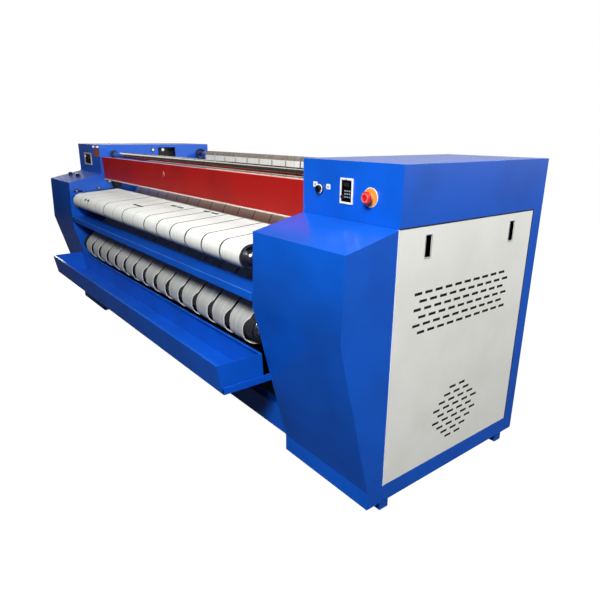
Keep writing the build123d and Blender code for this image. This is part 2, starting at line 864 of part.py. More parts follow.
post_gap = 16.0  # journal's end to the post
post_x = half_width + drum_journal_end + post_gap
post_thickness = 20.0
heater_tube_radius = 28.0
with BuildPart() as heater_core:
    # standing electric heater inside the turning drum: a tube through both hollow journals,
    # and the hexagonal heating rods that run between its two end spiders
    rod_count = 6
    rod_radius = 9.0
    rod_circle = 215.0
    rod_half = drum_half - 75.0
    spider_thickness = 6.0
    spider_rim = 20.0
    core_half = post_x + post_thickness
    with BuildSketch(Plane.YZ.offset(-core_half)):
        with Locations((drum_y, drum_z)):
            Circle(heater_tube_radius)
    extrude(amount=2 * core_half)
    for side in SIDES:
        with BuildSketch(Plane.YZ.offset(side * rod_half)):
            with Locations((drum_y, drum_z)):
                RegularPolygon(radius=rod_circle + spider_rim, side_count=rod_count)
        extrude(amount=-side * spider_thickness)
    with BuildSketch(Plane.YZ.offset(-rod_half + spider_thickness)):
        with Locations((drum_y, drum_z)):
            with PolarLocations(rod_circle, rod_count):
                RegularPolygon(radius=rod_radius, side_count=6)
    extrude(amount=2 * (rod_half - spider_thickness))
save(heater_core, "heater_core")

with BuildPart() as heater_posts:
    # posts on the plinths that hold the ends of the standing heater tube
    post_width = 80.0
    post_head = 50.0
    for side in SIDES:
        with BuildSketch(Plane.YZ.offset(side * post_x)):
            post_foot = foot_height + plinth_sheet
            with Locations((drum_y, (post_foot + drum_z + post_head) / 2)):
                Rectangle(post_width, drum_z + post_head - post_foot)
            with Locations((drum_y, drum_z)):
                Circle(heater_tube_radius + running_gap, mode=Mode.SUBTRACT)
        extrude(amount=side * post_thickness)
save(heater_posts, "heater_posts")

# ================================================================ finger guard
guard_top = overall_height - guard_top_drop
guard_front = front_y + guard_setback
guard_half = half_width - guard_end_gap
guard_ear = 4.0
pivot_setback = 12.0
pivot_drop = 14.0
pivot_y = guard_front + pivot_setback
pivot_z = guard_top - pivot_drop
with BuildPart() as finger_guard:
    guard_hem = 8.0
    with BuildSketch(Plane.YZ.offset(-guard_half)):
        with BuildLine():
            Polyline(
                (guard_front, guard_top),
                (guard_front + guard_flange, guard_top),
                (guard_front + guard_flange, guard_top - guard_sheet),
                (guard_front + guard_sheet, guard_top - guard_sheet),
                (guard_front + guard_sheet + guard_lean, guard_top - guard_height + guard_sheet),
                (guard_front + guard_lean + guard_hem, guard_top - guard_height + guard_sheet),
                (guard_front + guard_lean + guard_hem, guard_top - guard_height),
                (guard_front + guard_lean, guard_top - guard_height),
                close=True,
            )
        make_face()
    extrude(amount=2 * guard_half)
    # ears that take the pivot pins
    ear_y = (guard_front + guard_sheet, guard_front + guard_flange)
    ear_drop = 26.0
    for side in SIDES:
        box_between(
            (side * guard_half, side * (guard_half - guard_ear)),
            ear_y,
            (guard_top - ear_drop, guard_top - guard_sheet),
        )
        with BuildSketch(Plane.YZ.offset(side * guard_half)):
            with Locations((pivot_y, pivot_z)):
                Circle(guard_pin_radius + running_gap)
        extrude(amount=-side * guard_ear, mode=Mode.SUBTRACT)
save(finger_guard, "finger_guard")

with BuildPart() as guard_pivots:
    collar_stand_off = 0.4
    pin_collar_radius = 9.0
    pin_reach = 2.0  # past the ear
    for side in SIDES:
        with BuildSketch(Plane.YZ.offset(side * half_width)):
            with Locations((pivot_y, pivot_z)):
                RegularPolygon(radius=pin_collar_radius, side_count=6)
        extrude(amount=-side * (guard_end_gap - collar_stand_off))
        with BuildSketch(Plane.YZ.offset(side * half_width)):
            with Locations((pivot_y, pivot_z)):
                Circle(guard_pin_radius)
        extrude(amount=-side * (guard_end_gap + guard_ear + pin_reach))
save(guard_pivots, "guard_pivots")

with BuildPart() as guard_switch:
    # limit switch that the swung guard trips, on the left side plate
    switch_middle = (front_y + 112.0, overall_height - 293.0)
    switch_body = (60.0, 46.0, 18.0)
    plunger = (8.0, 10.0, 5.0)
    plunger_rise = 8.0
    with BuildSketch(Plane.YZ.offset(-half_width)):
        with Locations(switch_middle):
            Rectangle(switch_body[0], switch_body[1])
    extrude(amount=switch_body[2])
    plunger_y = switch_middle[0] - (switch_body[0] + plunger[0]) / 2
    with BuildSketch(Plane.YZ.offset(-half_width + (switch_body[2] - plunger[2]) / 2)):
        with Locations((plunger_y, switch_middle[1] + plunger_rise)):
            Rectangle(plunger[0], plunger[1])
    extrude(amount=plunger[2])
save(guard_switch, "guard_switch")

with BuildPart() as plate_bolts:
    # bolt heads on the inner faces of both side plates
    bolt_height = 8.0
    bolt_places = [
        (front_y + 425.0, overall_height - 41.0, 12.5),
        (front_y + 53.0, overall_height - 271.0, 12.5),
        (front_y - 34.0, overall_height - 317.0, 8.0),
        (front_y - 199.0, overall_height - take_up_slot_drop, 9.0),
        (front_y - 211.0, overall_height - 454.0, 8.0),
    ]
    for side in SIDES:
        with BuildSketch(Plane.YZ.offset(side * half_width)):
            for bolt_y, bolt_z, bolt_radius in bolt_places:
                with Locations((bolt_y, bolt_z)):
                    RegularPolygon(radius=bolt_radius, side_count=6)
        extrude(amount=-side * bolt_height)
save(plate_bolts, "plate_bolts")

# ================================================================ drive
drive_shaft_radius = 15.0
drive_shaft_depth = 60.0  # how far the gearbox's shaft reaches into it
gearbox_start = half_width + 194.0
drive_shaft_end = gearbox_start + drive_shaft_depth
pulley_face = half_width + pulley_start
with BuildPart() as drum_pulleys:
    # the driven pulley on the right journal, and the one that drives the feed on the left
    for side, pulley_radius in ((1, drum_pulley_radius), (-1, feed_drum_pulley_radius)):
        with BuildSketch(Plane.YZ.offset(side * pulley_face)):
            with Locations((drum_y, drum_z)):
                Circle(pulley_radius)
                Circle(drum_journal_radius + running_gap, mode=Mode.SUBTRACT)
        extrude(amount=side * pulley_width)
save(drum_pulleys, "drum_pulleys")

with BuildPart() as drive_pulley:
    with BuildSketch(Plane.YZ.offset(pulley_face)):
        with Locations((motor_y, motor_axis_height)):
            Circle(drive_pulley_radius)
    extrude(amount=pulley_width)
    with BuildSketch(Plane.YZ.offset(pulley_face + pulley_width)):
        with Locations((motor_y, motor_axis_height)):
            Circle(drive_shaft_radius)
    extrude(amount=drive_shaft_end - pulley_face - pulley_width)
save(drive_pulley, "drive_pulley")

drive_wheels = [
    (motor_y, motor_axis_height, drive_pulley_radius, 1),
    (drum_y, drum_z, drum_pulley_radius, 1),
]
feed_drive_wheels = [
    (feed_front_y, feed_front_z, feed_pulley_radius, 1),
    (drum_y, drum_z, feed_drum_pulley_radius, 1),
]
drive_belt_edge = half_width + pulley_start + (pulley_width - drive_belt_width) / 2
endless_belts(
    "drive_belts",
    [(drive_wheels, [drive_belt_edge]), (feed_drive_wheels, [-drive_belt_edge - drive_belt_width])],
    drive_belt_thickness,
    drive_belt_width,
)

with BuildPart() as gearmotor:
    gearbox_length = 130.0
    motor_ribs = 16
    gearbox_end = gearbox_start + gearbox_length
    box_between(
        (gearbox_start, gearbox_end),
        (motor_y - gearbox_size / 2, motor_y + gearbox_size / 2),
        (motor_axis_height - gearbox_size / 2, motor_axis_height + gearbox_size / 2),
    )
    motor_plane = Plane.YZ.offset(gearbox_end)
    with BuildSketch(motor_plane):
        with Locations((motor_y, motor_axis_height)):
            RegularPolygon(radius=motor_radius, side_count=motor_ribs)
    extrude(amount=motor_length)
    with BuildSketch(Plane.YZ.offset(gearbox_start)):
        with Locations((motor_y, motor_axis_height)):
            Circle(drive_shaft_radius + running_gap)
    extrude(amount=drive_shaft_depth + journal_end_gap, mode=Mode.SUBTRACT)
save(gearmotor, "gearmotor")

with BuildPart() as gearmotor_bracket:
    bracket_sheet = 8.0
    bracket_top = motor_axis_height - gearbox_size / 2
    bracket_foot = foot_height + plinth_sheet
    bracket_half = gearbox_size / 2
    with BuildSketch(Plane.YZ.offset(gearbox_start)):
        with BuildLine():
            Polyline(
                (motor_y - bracket_half, bracket_foot),
                (motor_y - bracket_half, bracket_top),
                (motor_y + bracket_half, bracket_top),
                (motor_y + bracket_half, bracket_foot),
                (motor_y + bracket_half - bracket_sheet, bracket_foot),
                (motor_y + bracket_half - bracket_sheet, bracket_top - bracket_sheet),
                (motor_y - bracket_half + bracket_sheet, bracket_top - bracket_sheet),
                (motor_y - bracket_half + bracket_sheet, bracket_foot),
                close=True,
            )
        make_face()
    extrude(amount=gearbox_end - gearbox_start)
save(gearmotor_bracket, "gearmotor_bracket")

with BuildPart() as inverter:
    inverter_depth = 120.0
    inverter_y = (front_y + 82.0, front_y + 222.0)
    inverter_z = (drum_z - 295.0, drum_z - 65.0)
    box_between((plate_outer, plate_outer + inverter_depth), inverter_y, inverter_z)
save(inverter, "inverter")

# ================================================================ controls on the right housing
front_plane = Plane.XZ.offset(-front_y)
shaft_flats = 12
knob_flats = 12


def turn_knob(name, plane, place, radius, height, lift, shaft_radius, shaft_depth, pointer):
    """A turned knob with a pointer rib, on a short splined shaft that turns in its base."""
    with BuildPart() as knob:
        with BuildSketch(plane.offset(lift)):
            with Locations(place):
                RegularPolygon(radius=radius, side_count=knob_flats)
        extrude(amount=height)
        with BuildSketch(plane.offset(lift + height)):
            with Locations(place):
                Rectangle(pointer, radius * 1.7)
        extrude(amount=pointer * 0.8)
        with BuildSketch(plane.offset(lift)):
            with Locations(place):
                RegularPolygon(radius=shaft_radius, side_count=shaft_flats)
        extrude(amount=-shaft_depth)
    save(knob, name)


keypad_middle = (half_width + 259.5, overall_height - 108.5)
keypad_size = (54.0, 79.0)
keypad_bezel = 7.5
keypad_bezel_height = 5.0
keypad_height = 3.0
key_relief = 1.0
with BuildPart() as keypad_frame:
    with BuildSketch(front_plane):
        with Locations(keypad_middle):
            Rectangle(keypad_size[0] + 2 * keypad_bezel, keypad_size[1] + 2 * keypad_bezel)
            Rectangle(*keypad_size, mode=Mode.SUBTRACT)
    extrude(amount=keypad_bezel_height)
save(keypad_frame, "keypad_frame")

keypad_knob_place = (keypad_middle[0] - 18.5, keypad_middle[1] - 21.0)
keypad_shaft_radius = 3.0
with BuildPart() as keypad_panel:
    # membrane keypad with its display window and three rows of keys in relief
    display_size = (40.0, 18.0)
    display_rise = 24.0
    key_size = (9.0, 7.0)
    key_pitch = (12.0, 11.0)
    keys_shift = (7.0, -10.0)
    with BuildSketch(front_plane):
        with Locations(keypad_middle):
            Rectangle(*keypad_size)
    extrude(amount=keypad_height)
    with BuildSketch(front_plane.offset(keypad_height)):
        with Locations((keypad_middle[0], keypad_middle[1] + display_rise)):
            Rectangle(*display_size)
        with Locations((keypad_middle[0] + keys_shift[0], keypad_middle[1] + keys_shift[1])):
            with GridLocations(key_pitch[0], key_pitch[1], 3, 3):
                Rectangle(*key_size)
    extrude(amount=key_relief)
    with BuildSketch(front_plane):
        with Locations(keypad_knob_place):
            Circle(keypad_shaft_radius + running_gap)
    extrude(amount=keypad_height + key_relief, mode=Mode.SUBTRACT)
save(keypad_panel, "keypad_panel")

knob_lift = 0.4  # a knob's underside above its base
keypad_knob_radius = 7.0
keypad_knob_height = 7.0
keypad_pointer = 2.0
turn_knob(
    "keypad_knob", front_plane, keypad_knob_place, keypad_knob_radius, keypad_knob_height,
    keypad_height + knob_lift, keypad_shaft_radius, keypad_height, keypad_pointer,
)

stop_place = (half_width + 383.0, overall_height - 120.0)
stop_disc_radius = 32.5
stop_disc_height = 3.0
stop_stem_radius = 11.0
stop_travel = 5.0
with BuildPart() as estop_base:
    # coloured disc under the push button, with the clamping collar that its stem slides in
    stop_disc_flats = 24
    stop_collar_radius = 16.0
    stop_collar_height = 13.0
    with BuildSketch(front_plane):
        with Locations(stop_place):
            RegularPolygon(radius=stop_disc_radius, side_count=stop_disc_flats)
    extrude(amount=stop_disc_height)
    with BuildSketch(front_plane):
        with Locations(stop_place):
            RegularPolygon(radius=stop_collar_radius, side_count=shaft_flats)
    extrude(amount=stop_collar_height)
    with BuildSketch(front_plane):
        with Locations(stop_place):
            Circle(stop_stem_radius + running_gap)
    extrude(amount=stop_collar_height, mode=Mode.SUBTRACT)
save(estop_base, "estop_base")

with BuildPart() as estop_button:
    # mushroom head with a bevelled face, on a splined stem that stays clear of the housing
    stop_head_radius = 22.0
    stop_head_flats = 24
    stop_head_back = 22.0
    stop_head_height = 18.0
    stop_head_bevel = 6.0
    stem_start = stop_travel + 1.0
    with BuildSketch(front_plane.offset(stop_head_back)):
        with Locations(stop_place):
            RegularPolygon(radius=stop_head_radius, side_count=stop_head_flats)
    extrude(amount=stop_head_height)
    front_face = estop_button.faces().sort_by(Axis.Y)[0]
    chamfer(front_face.edges(), stop_head_bevel)
    with BuildSketch(front_plane.offset(stem_start)):
        with Locations(stop_place):
            RegularPolygon(radius=stop_stem_radius, side_count=shaft_flats)
    extrude(amount=stop_head_back - stem_start)
save(estop_button, "estop_button")

switch_shaft_radius = 6.0
switch_base_radius = 20.0
switch_base_height = 5.0
switch_knob_radius = 14.0
switch_knob_height = 12.0
switch_pointer = 6.0
selector_place = (half_width + 107.0, overall_height - 112.0)

# ================================================================ controls on the left housing
controller_middle = (-half_width - 290.0, overall_height - 112.5)
controller_size = (146.0, 71.0)
controller_bezel = (12.0, 11.0)
controller_bezel_height = 6.0
with BuildPart() as controller_frame:
    with BuildSketch(front_plane):
        with Locations(controller_middle):
            Rectangle(
                controller_size[0] + 2 * controller_bezel[0],
                controller_size[1] + 2 * controller_bezel[1],
            )
            Rectangle(*controller_size, mode=Mode.SUBTRACT)
    extrude(amount=controller_bezel_height)
save(controller_frame, "controller_frame")

with BuildPart() as controller_face:
    # dark face with a raised display window, a round dial and a row of keys
    face_height = 3.0
    window_size = (80.0, 30.0)
    face_key_size = (14.0, 9.0)
    face_key_pitch = 22.0
    right_half_shift = 22.0
    window_rise = 10.0
    face_key_drop = 22.0
    dial_place = (controller_middle[0] - 45.0, controller_middle[1] + 18.5)
    dial_radius = 12.0
    dial_height = 5.0
    with BuildSketch(front_plane):
        with Locations(controller_middle):
            Rectangle(*controller_size)
    extrude(amount=face_height)
    right_half_x = controller_middle[0] + right_half_shift
    with BuildSketch(front_plane.offset(face_height)):
        with Locations((right_half_x, controller_middle[1] + window_rise)):
            Rectangle(*window_size)
        with Locations((right_half_x, controller_middle[1] - face_key_drop)):
            with GridLocations(face_key_pitch, 1, 4, 1):
                Rectangle(*face_key_size)
    extrude(amount=key_relief)
    with BuildSketch(front_plane.offset(face_height)):
        with Locations(dial_place):
            RegularPolygon(radius=dial_radius, side_count=knob_flats)
    extrude(amount=dial_height)
save(controller_face, "controller_face")

with BuildPart() as indicator_lamps:
    lamp_drop = 17.0
    lamp_radius = 9.0
    lamp_flats = 16
    lamp_height = 8.0
    lamp_z = overall_height - lamp_drop
    with BuildSketch(front_plane):
        with Locations((-half_width - 120.0, lamp_z), (-half_width - 20.0, lamp_z)):
            RegularPolygon(radius=lamp_radius, side_count=lamp_flats)
    extrude(amount=lamp_height)
save(indicator_lamps, "indicator_lamps")

rotary_reach = 118.0  # the two console switches, ahead of the housing's front face
console_top_plane = Plane(
    origin=(0, front_y - rotary_reach, band_z - rotary_reach * math.tan(console_slope)),
    x_dir=(1, 0, 0),
    z_dir=(0, -math.sin(console_slope), math.cos(console_slope)),
)
rotary_places = [(-half_width - 410.0, 0), (-half_width - 215.0, 0)]
with BuildPart() as switch_bases:
    # bezels of the three turn switches, each with the round bore for its knob's shaft
    base_flats = 16
    for plane, places in ((front_plane, [selector_place]), (console_top_plane, rotary_places)):
        with BuildSketch(plane):
            with Locations(*places):
                RegularPolygon(radius=switch_base_radius, side_count=base_flats)
                Circle(switch_shaft_radius + running_gap, mode=Mode.SUBTRACT)
        extrude(amount=switch_base_height)
save(switch_bases, "switch_bases")

for name, plane, place in (
    ("selector_knob", front_plane, selector_place),
    ("rotary_knob_1", console_top_plane, rotary_places[0]),
    ("rotary_knob_2", console_top_plane, rotary_places[1]),
):
    turn_knob(
        name, plane, place, switch_knob_radius, switch_knob_height,
        switch_base_height + knob_lift, switch_shaft_radius, switch_base_height, switch_pointer,
    )
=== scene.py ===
import json
import logging
import math
from collections.abc import Callable, Iterator
from contextlib import contextmanager
from dataclasses import dataclass
from enum import Enum

import bpy
from mathutils import Matrix, Vector


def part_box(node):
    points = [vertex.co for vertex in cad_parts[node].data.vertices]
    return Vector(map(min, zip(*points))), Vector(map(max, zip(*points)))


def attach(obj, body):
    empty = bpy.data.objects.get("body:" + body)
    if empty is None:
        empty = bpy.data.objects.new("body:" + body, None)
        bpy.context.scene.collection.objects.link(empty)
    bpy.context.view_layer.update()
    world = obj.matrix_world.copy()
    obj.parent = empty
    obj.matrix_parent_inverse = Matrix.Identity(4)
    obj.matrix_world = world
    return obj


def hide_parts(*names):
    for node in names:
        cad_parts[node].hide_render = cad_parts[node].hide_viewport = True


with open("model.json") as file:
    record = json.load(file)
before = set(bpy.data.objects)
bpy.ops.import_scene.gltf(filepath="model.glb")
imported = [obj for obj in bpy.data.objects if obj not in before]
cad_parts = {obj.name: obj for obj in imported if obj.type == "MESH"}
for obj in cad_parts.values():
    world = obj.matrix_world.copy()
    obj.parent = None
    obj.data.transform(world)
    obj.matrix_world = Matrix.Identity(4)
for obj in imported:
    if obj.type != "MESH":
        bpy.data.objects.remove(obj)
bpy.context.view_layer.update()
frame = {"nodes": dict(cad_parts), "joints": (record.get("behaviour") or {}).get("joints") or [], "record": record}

log = logging.getLogger("flatwork_ironer")

Piece = bpy.types.Object
Face = bpy.types.MeshPolygon
NodeTree = bpy.types.NodeTree
Pair = tuple[float, float]
Triple = tuple[float, float, float]

MM = 0.001
UP = Vector((0.0, 0.0, 1.0))
TO_THE_RIGHT = Vector((1.0, 0.0, 0.0))
TO_THE_BACK = Vector((0.0, 1.0, 0.0))
OUT_OF_THE_FRONT = -TO_THE_BACK

# the machine's main planes, in millimetres
PLATE_X = 1250.0  # inner face of either side plate
OUTER_X = 1778.0  # outer face of either cabinet
SIDES = ((-1, "left"), (1, "right"))
BELT_GAP = 0.3  # between a belt and its rollers
FOLD_WIDTH, FOLD_LENGTH = 3.2, 60.0  # a rounded fold's faces are narrower and longer than this


# ---------------------------------------------------------------- finishes
def linear(hex_colour: str) -> tuple[float, float, float, float]:
    """Turn an sRGB colour into the linear one that a shader takes.

    Args:
        hex_colour: The colour as "#RRGGBB".

    Returns:
        Linear red, green and blue, and an alpha of 1.
    """
    channels = [int(hex_colour[i : i + 2], 16) / 255 for i in (1, 3, 5)]
    scene_linear = [c / 12.92 if c <= 0.04045 else ((c + 0.055) / 1.055) ** 2.4 for c in channels]
    return (*scene_linear, 1.0)


def add_node(
    tree: NodeTree,
    kind: str,
    inputs: dict | None = None,
    links: dict | None = None,
    **settings: object,
) -> bpy.types.Node:
    """Add one node with its settings and links.

    Args:
        tree: The node tree it goes into.
        kind: The node's type.
        inputs: Values for its input sockets, by name or number.
        links: Output sockets that feed its input sockets, by name or number.
        **settings: The node's own properties.

    Returns:
        The new node.
    """
    node = tree.nodes.new(kind)
    for name, value in settings.items():
        setattr(node, name, value)
    for socket, value in (inputs or {}).items():
        node.inputs[socket].default_value = value
    for socket, source in (links or {}).items():
        tree.links.new(source, node.inputs[socket])
    return node


@dataclass(frozen=True)
class Grain:
    """Noise on Object coordinates, with its own grain length along and across the X axis."""

    along_mm: float
    across_mm: float
    layers: float  # how many finer ones it has

    def add(self, tree: NodeTree) -> bpy.types.Node:
        """Add it to a node tree.

        Args:
            tree: The node tree.

        Returns:
            The noise node.
        """
        place = add_node(tree, "ShaderNodeTexCoord")
        grain_mm = (self.along_mm, self.across_mm, self.across_mm)
        stretch = add_node(
            tree,
            "ShaderNodeMapping",
            inputs={"Scale": [1 / (grain * MM) for grain in grain_mm]},
            links={"Vector": place.outputs["Object"]},
        )
        return add_node(
            tree,
            "ShaderNodeTexNoise",
            inputs={"Scale": 1.0, "Detail": self.layers, "Roughness": 0.55},
            links={"Vector": stretch.outputs["Vector"]},
        )


@dataclass(frozen=True)
class Finish:
    """A plain smooth finish, and the base of the patterned ones."""

    name: str
    colour: str
    roughness: float
    metallic: float = 0.0
    ior: float = 1.5
    coat: float = 0.0
    sheen: float = 0.0
    glow: float = 0.0
    second: str = ""  # the tone it drifts into; a little darker than the colour where not given
    # its tone drifts a little, as a mould's flow or a hand's grease leaves it
    tone: Grain = Grain(18.0, 18.0, 3.0)
    blend: Pair = (0.4, 0.75)  # noise values where the second tone starts and rules
    fine: Grain | None = None  # what stands up in relief
    depth_mm: float = 0.0
    strength: float = 0.0

    @property
    def drift(self) -> str:
        """The second tone, as hex."""
        channels = (int(self.colour[i : i + 2], 16) for i in (1, 3, 5))
        return self.second or "#" + "".join(f"{int(c * 0.86):02X}" for c in channels)

    def material(self) -> bpy.types.Material:
        """Make the finish's material once and hand the same one out after that.

        Returns:
            The material.
        """
        made = bpy.data.materials.get(self.name)
        if made is not None:
            return made
        made = bpy.data.materials.new(self.name)
        made.use_nodes = True
        shader = made.node_tree.nodes["Principled BSDF"]
        values = {
            "Base Color": linear(self.colour),
            "Roughness": self.roughness,
            "Metallic": self.metallic,
            "Coat Weight": self.coat,
            "Coat Roughness": 0.2,
            "Sheen Weight": self.sheen,
        }
        if not self.metallic:
            values["IOR"] = self.ior
        if self.glow:
            values |= {"Emission Color": linear(self.colour), "Emission Strength": self.glow}
        for socket, value in values.items():
            shader.inputs[socket].default_value = value
        self.pattern(made.node_tree, shader)
        return made

    def pattern(self, tree: NodeTree, shader: bpy.types.Node) -> None:
        """Blend the two tones by the coarse noise, and raise the fine one in relief.

        Args:
            tree: The material's node tree.
            shader: Its surface shader.
        """
        noise = self.tone.add(tree)
        ramp = add_node(tree, "ShaderNodeValToRGB", links={"Fac": noise.outputs["Fac"]})
        first, second = ramp.color_ramp.elements
        first.position, second.position = self.blend
        first.color, second.color = linear(self.colour), linear(self.drift)
        tree.links.new(ramp.outputs["Color"], shader.inputs["Base Color"])
        if self.fine:
            bump = add_node(
                tree,
                "ShaderNodeBump",
                inputs={"Strength": self.strength, "Distance": self.depth_mm * MM},
                links={"Height": self.fine.add(tree).outputs["Fac"]},
            )
            tree.links.new(bump.outputs["Normal"], shader.inputs["Normal"])


@dataclass(frozen=True)
class PowderCoat(Finish):
    """Baked powder coat on sheet steel: even colour, soft gloss, a faint orange peel."""

    # a slow change of tone, as handling leaves on paint
    tone: Grain = Grain(260.0, 260.0, 3.0)
    blend: Pair = (0.42, 0.72)
    # real orange peel is 1 to 2 mm across: drawn 5 mm wide, or it would not show at all
    fine: Grain = Grain(5.0, 5.0, 1.0)
    depth_mm: float = 0.12
    strength: float = 0.25


@dataclass(frozen=True)
class WovenCanvas(Finish):
    """Plain-woven cotton canvas: matt, off-white, with soft lengthwise marks from running."""

    # real threads lie 0.7 mm apart: drawn as streaks 9 mm wide that follow the belt's travel
    tone: Grain = Grain(9.0, 420.0, 3.0)
    blend: Pair = (0.45, 0.8)
    fine: Grain = Grain(2.5, 2.5, 2.0)
    depth_mm: float = 0.5
    strength: float = 0.4


@dataclass(frozen=True)
class NeedledFelt(Finish):
    """Needled polyester felt: matt grey, fuzzy, with darker lines where the linen runs."""

    sheen: float = 0.04
    tone: Grain = Grain(14.0, 300.0, 4.0)
    fine: Grain = Grain(3.0, 3.0, 3.0)
    depth_mm: float = 0.8
    strength: float = 0.5


@dataclass(frozen=True)
class TurnedSteel(Finish):
    """Steel turned or ground round the X axis: fine rings that stretch the highlight."""

    # real turning marks are 0.1 mm apart: drawn 3 mm apart
    tone: Grain = Grain(3.0, 2000.0, 2.0)
    blend: Pair = (0.35, 0.7)
    fine: Grain = Grain(3.0, 2000.0, 2.0)
    depth_mm: float = 0.05
    strength: float = 0.2


@dataclass(frozen=True)
class GapShadedSteel(TurnedSteel):
    """A polished drum with a dark ring painted at each gap between the felt belts: painted shade of the gaps."""

    first_mm: float = -1102.2
    pitch_mm: float = 160.6
    ring_share: float = 0.045  # how much of the pitch a ring takes

    def pattern(self, tree: NodeTree, shader: bpy.types.Node) -> None:
        """Add the polishing marks, then the dark rings of painted shade over their tone."""
        super().pattern(tree, shader)
        tone = shader.inputs["Base Color"].links[0].from_socket
        place = add_node(tree, "ShaderNodeTexCoord")
        split = add_node(tree, "ShaderNodeSeparateXYZ", links={"Vector": place.outputs["Object"]})
        along = add_node(
            tree,
            "ShaderNodeMapRange",
            inputs={
                "From Min": self.first_mm * MM,
                "From Max": (self.first_mm + self.pitch_mm) * MM,
            },
            links={"Value": split.outputs["X"]},
            clamp=False,
        )
        turn = add_node(tree, "ShaderNodeMath", links={0: along.outputs[0]}, operation="FRACT")
        bare = add_node(
            tree,
            "ShaderNodeMath",
            inputs={1: self.ring_share},
            links={0: turn.outputs["Value"]},
            operation="LESS_THAN",
        )
        # a dark ring at each belt gap: painted shade
        gap_shaded = add_node(
            tree,
            "ShaderNodeMix",
            inputs={7: linear("#4E463D")},
            links={"Factor": bare.outputs["Value"], 6: tone},
            data_type="RGBA",
        )
        tree.links.new(gap_shaded.outputs[2], shader.inputs["Base Color"])


@dataclass(frozen=True)
class CastMetal(Finish):
    """Sand-cast iron or alloy, or thick enamel: dull, with a coarse grain."""

    fine: Grain = Grain(4.0, 4.0, 3.0)
    depth_mm: float = 0.4
    strength: float = 0.5


@dataclass(frozen=True)
class ZincPlate(Finish):
    """Bright zinc plating: pale, with soft cloudy spangles."""

    tone: Grain = Grain(12.0, 12.0, 2.0)
    blend: Pair = (0.4, 0.7)


# glossy blue powder coat: a saturated, slightly deep blue with a clear soft sheen
BLUE_COAT = PowderCoat("powder_coat_blue", "#0058CC", 0.5, ior=1.35, coat=1.0, second="#0050BA")
# the same coat, a lighter blue on the long folds at a sheet's front lip: a painted highlight
BLUE_HIGHLIGHT = PowderCoat("powder_coat_blue_painted_highlight", "#4C94F0", 0.35, second="#2F7BE0")
# pale grey powder coat of the lift-off panels: satin, barely warm
PALE_COAT = PowderCoat("powder_coat_pale_grey", "#EBEBE6", 0.5, second="#E3E3DD")
# a lighter strip along the panels' front fold: a painted highlight
PALE_HIGHLIGHT = PowderCoat("powder_coat_pale_painted_highlight", "#F2F8FC", 0.4, second="#E2EEF6")
# signal red powder coat of the guard: deep, a little dulled by handling
RED_COAT = PowderCoat("powder_coat_red", "#A60D08", 0.5, ior=1.4, second="#900E0B")
# pale pink on the guard's folded top edge and its underside: a painted highlight
RED_HIGHLIGHT = PowderCoat("powder_coat_red_painted_highlight", "#F2A39C", 0.5, second="#E08880")
CANVAS = WovenCanvas("woven_canvas", "#E2E4DF", 0.9, second="#D2D5D1")
# dark grey along the canvas belts' edges and sides: painted shade in the seams between the belts
CANVAS_SEAM_SHADE = Finish("canvas_edge_painted_shade", "#4E5250", 0.9)
LACING = Finish("belt_lacing_blackened", "#0E0E0F", 0.55)
FELT = NeedledFelt("needled_felt", "#9EA09C", 0.95, second="#B4B6B2")
# felt on the top of the bend over the rear top roller: a darker brown-grey, painted there only
BEND_TOP_FELT = NeedledFelt("felt_darker_over_bend", "#8E877B", 0.85, second="#6C655B")
# felt of the strand between the rear top roller and the drum, painted almost white: painted light on a strand that
# lies in shade
LIT_STRAND_FELT = NeedledFelt("felt_painted_light", "#F2F3F0", 0.9, second="#DADCDA")
# almost white along the felt belts' edges and sides, smoother than the felt: a painted highlight
FELT_EDGE_HIGHLIGHT = Finish("felt_edge_painted_highlight", "#D6D7D3", 0.7)
POLISHED = GapShadedSteel("polished_drum_steel", "#D9CCBD", 0.33, metallic=0.55, second="#C4B5A3")
# stay tube: drawn stainless tube, bright, with a soft stretched highlight
DRAWN = TurnedSteel(
    "drawn_stainless_tube", "#E2DCD2", 0.09, metallic=1.0, second="#C4BAAD", strength=0.03
)
# a cream strip along the guard's lower hem: a painted highlight
HEM_HIGHLIGHT = Finish("hem_painted_highlight", "#E6D8CC", 0.55)
# filter gauze behind the vents: black, soaks up all light; the same black on the vents' cut edges is painted shade
MESH = Grain(4.0, 4.0, 3.0)
GAUZE_AND_SLOT_SHADE = WovenCanvas("black_gauze_and_slot_shade", "#060708", 0.95, second="#0C0D10", tone=MESH)
# dark navy strip round a panel: painted shade in the seam between panel and housing
SEAM_SHADE = Finish("panel_seam_painted_shade", "#0A1230", 0.9)
TURNED = TurnedSteel("turned_steel", "#B4B6B8", 0.3, metallic=1.0, second="#8C8E90")
# rubber lagging: black, with the grooves that its grinding leaves
GROOVES = Grain(8.0, 2000.0, 2.0)
LAGGING = TurnedSteel(
    "rubber_lagging", "#141517", 0.65, second="#2C2D30", tone=GROOVES, fine=GROOVES
)
MILD = Finish("mild_steel", "#85878A", 0.45, metallic=1.0)
ZINC = ZincPlate("zinc_plated_steel", "#E2E3E2", 0.3, metallic=1.0, second="#BFC2C4")
IRON = CastMetal("cast_iron_black", "#242528", 0.6)
ALLOY = CastMetal("cast_alloy", "#A5A7A9", 0.42, metallic=1.0, fine=Grain(3.0, 3.0, 3.0))
RUBBER = Finish("drive_belt_rubber", "#1A1A1B", 0.8)
MOTOR = CastMetal("motor_enamel", "#4A5560", 0.4)
WHITE_PLASTIC = Finish("moulded_white", "#F2F2F0", 0.35)
BLACK_PLASTIC = Finish("moulded_black", "#101012", 0.35)
GREY_PLASTIC = Finish("moulded_grey", "#BCBDBB", 0.4)
DARK_PLASTIC = Finish("moulded_dark_grey", "#3A3C40", 0.45)
STOP_RED = Finish("moulded_red", "#D81E1A", 0.28, coat=0.3)
STOP_AMBER = Finish("moulded_amber", "#F0963C", 0.4)
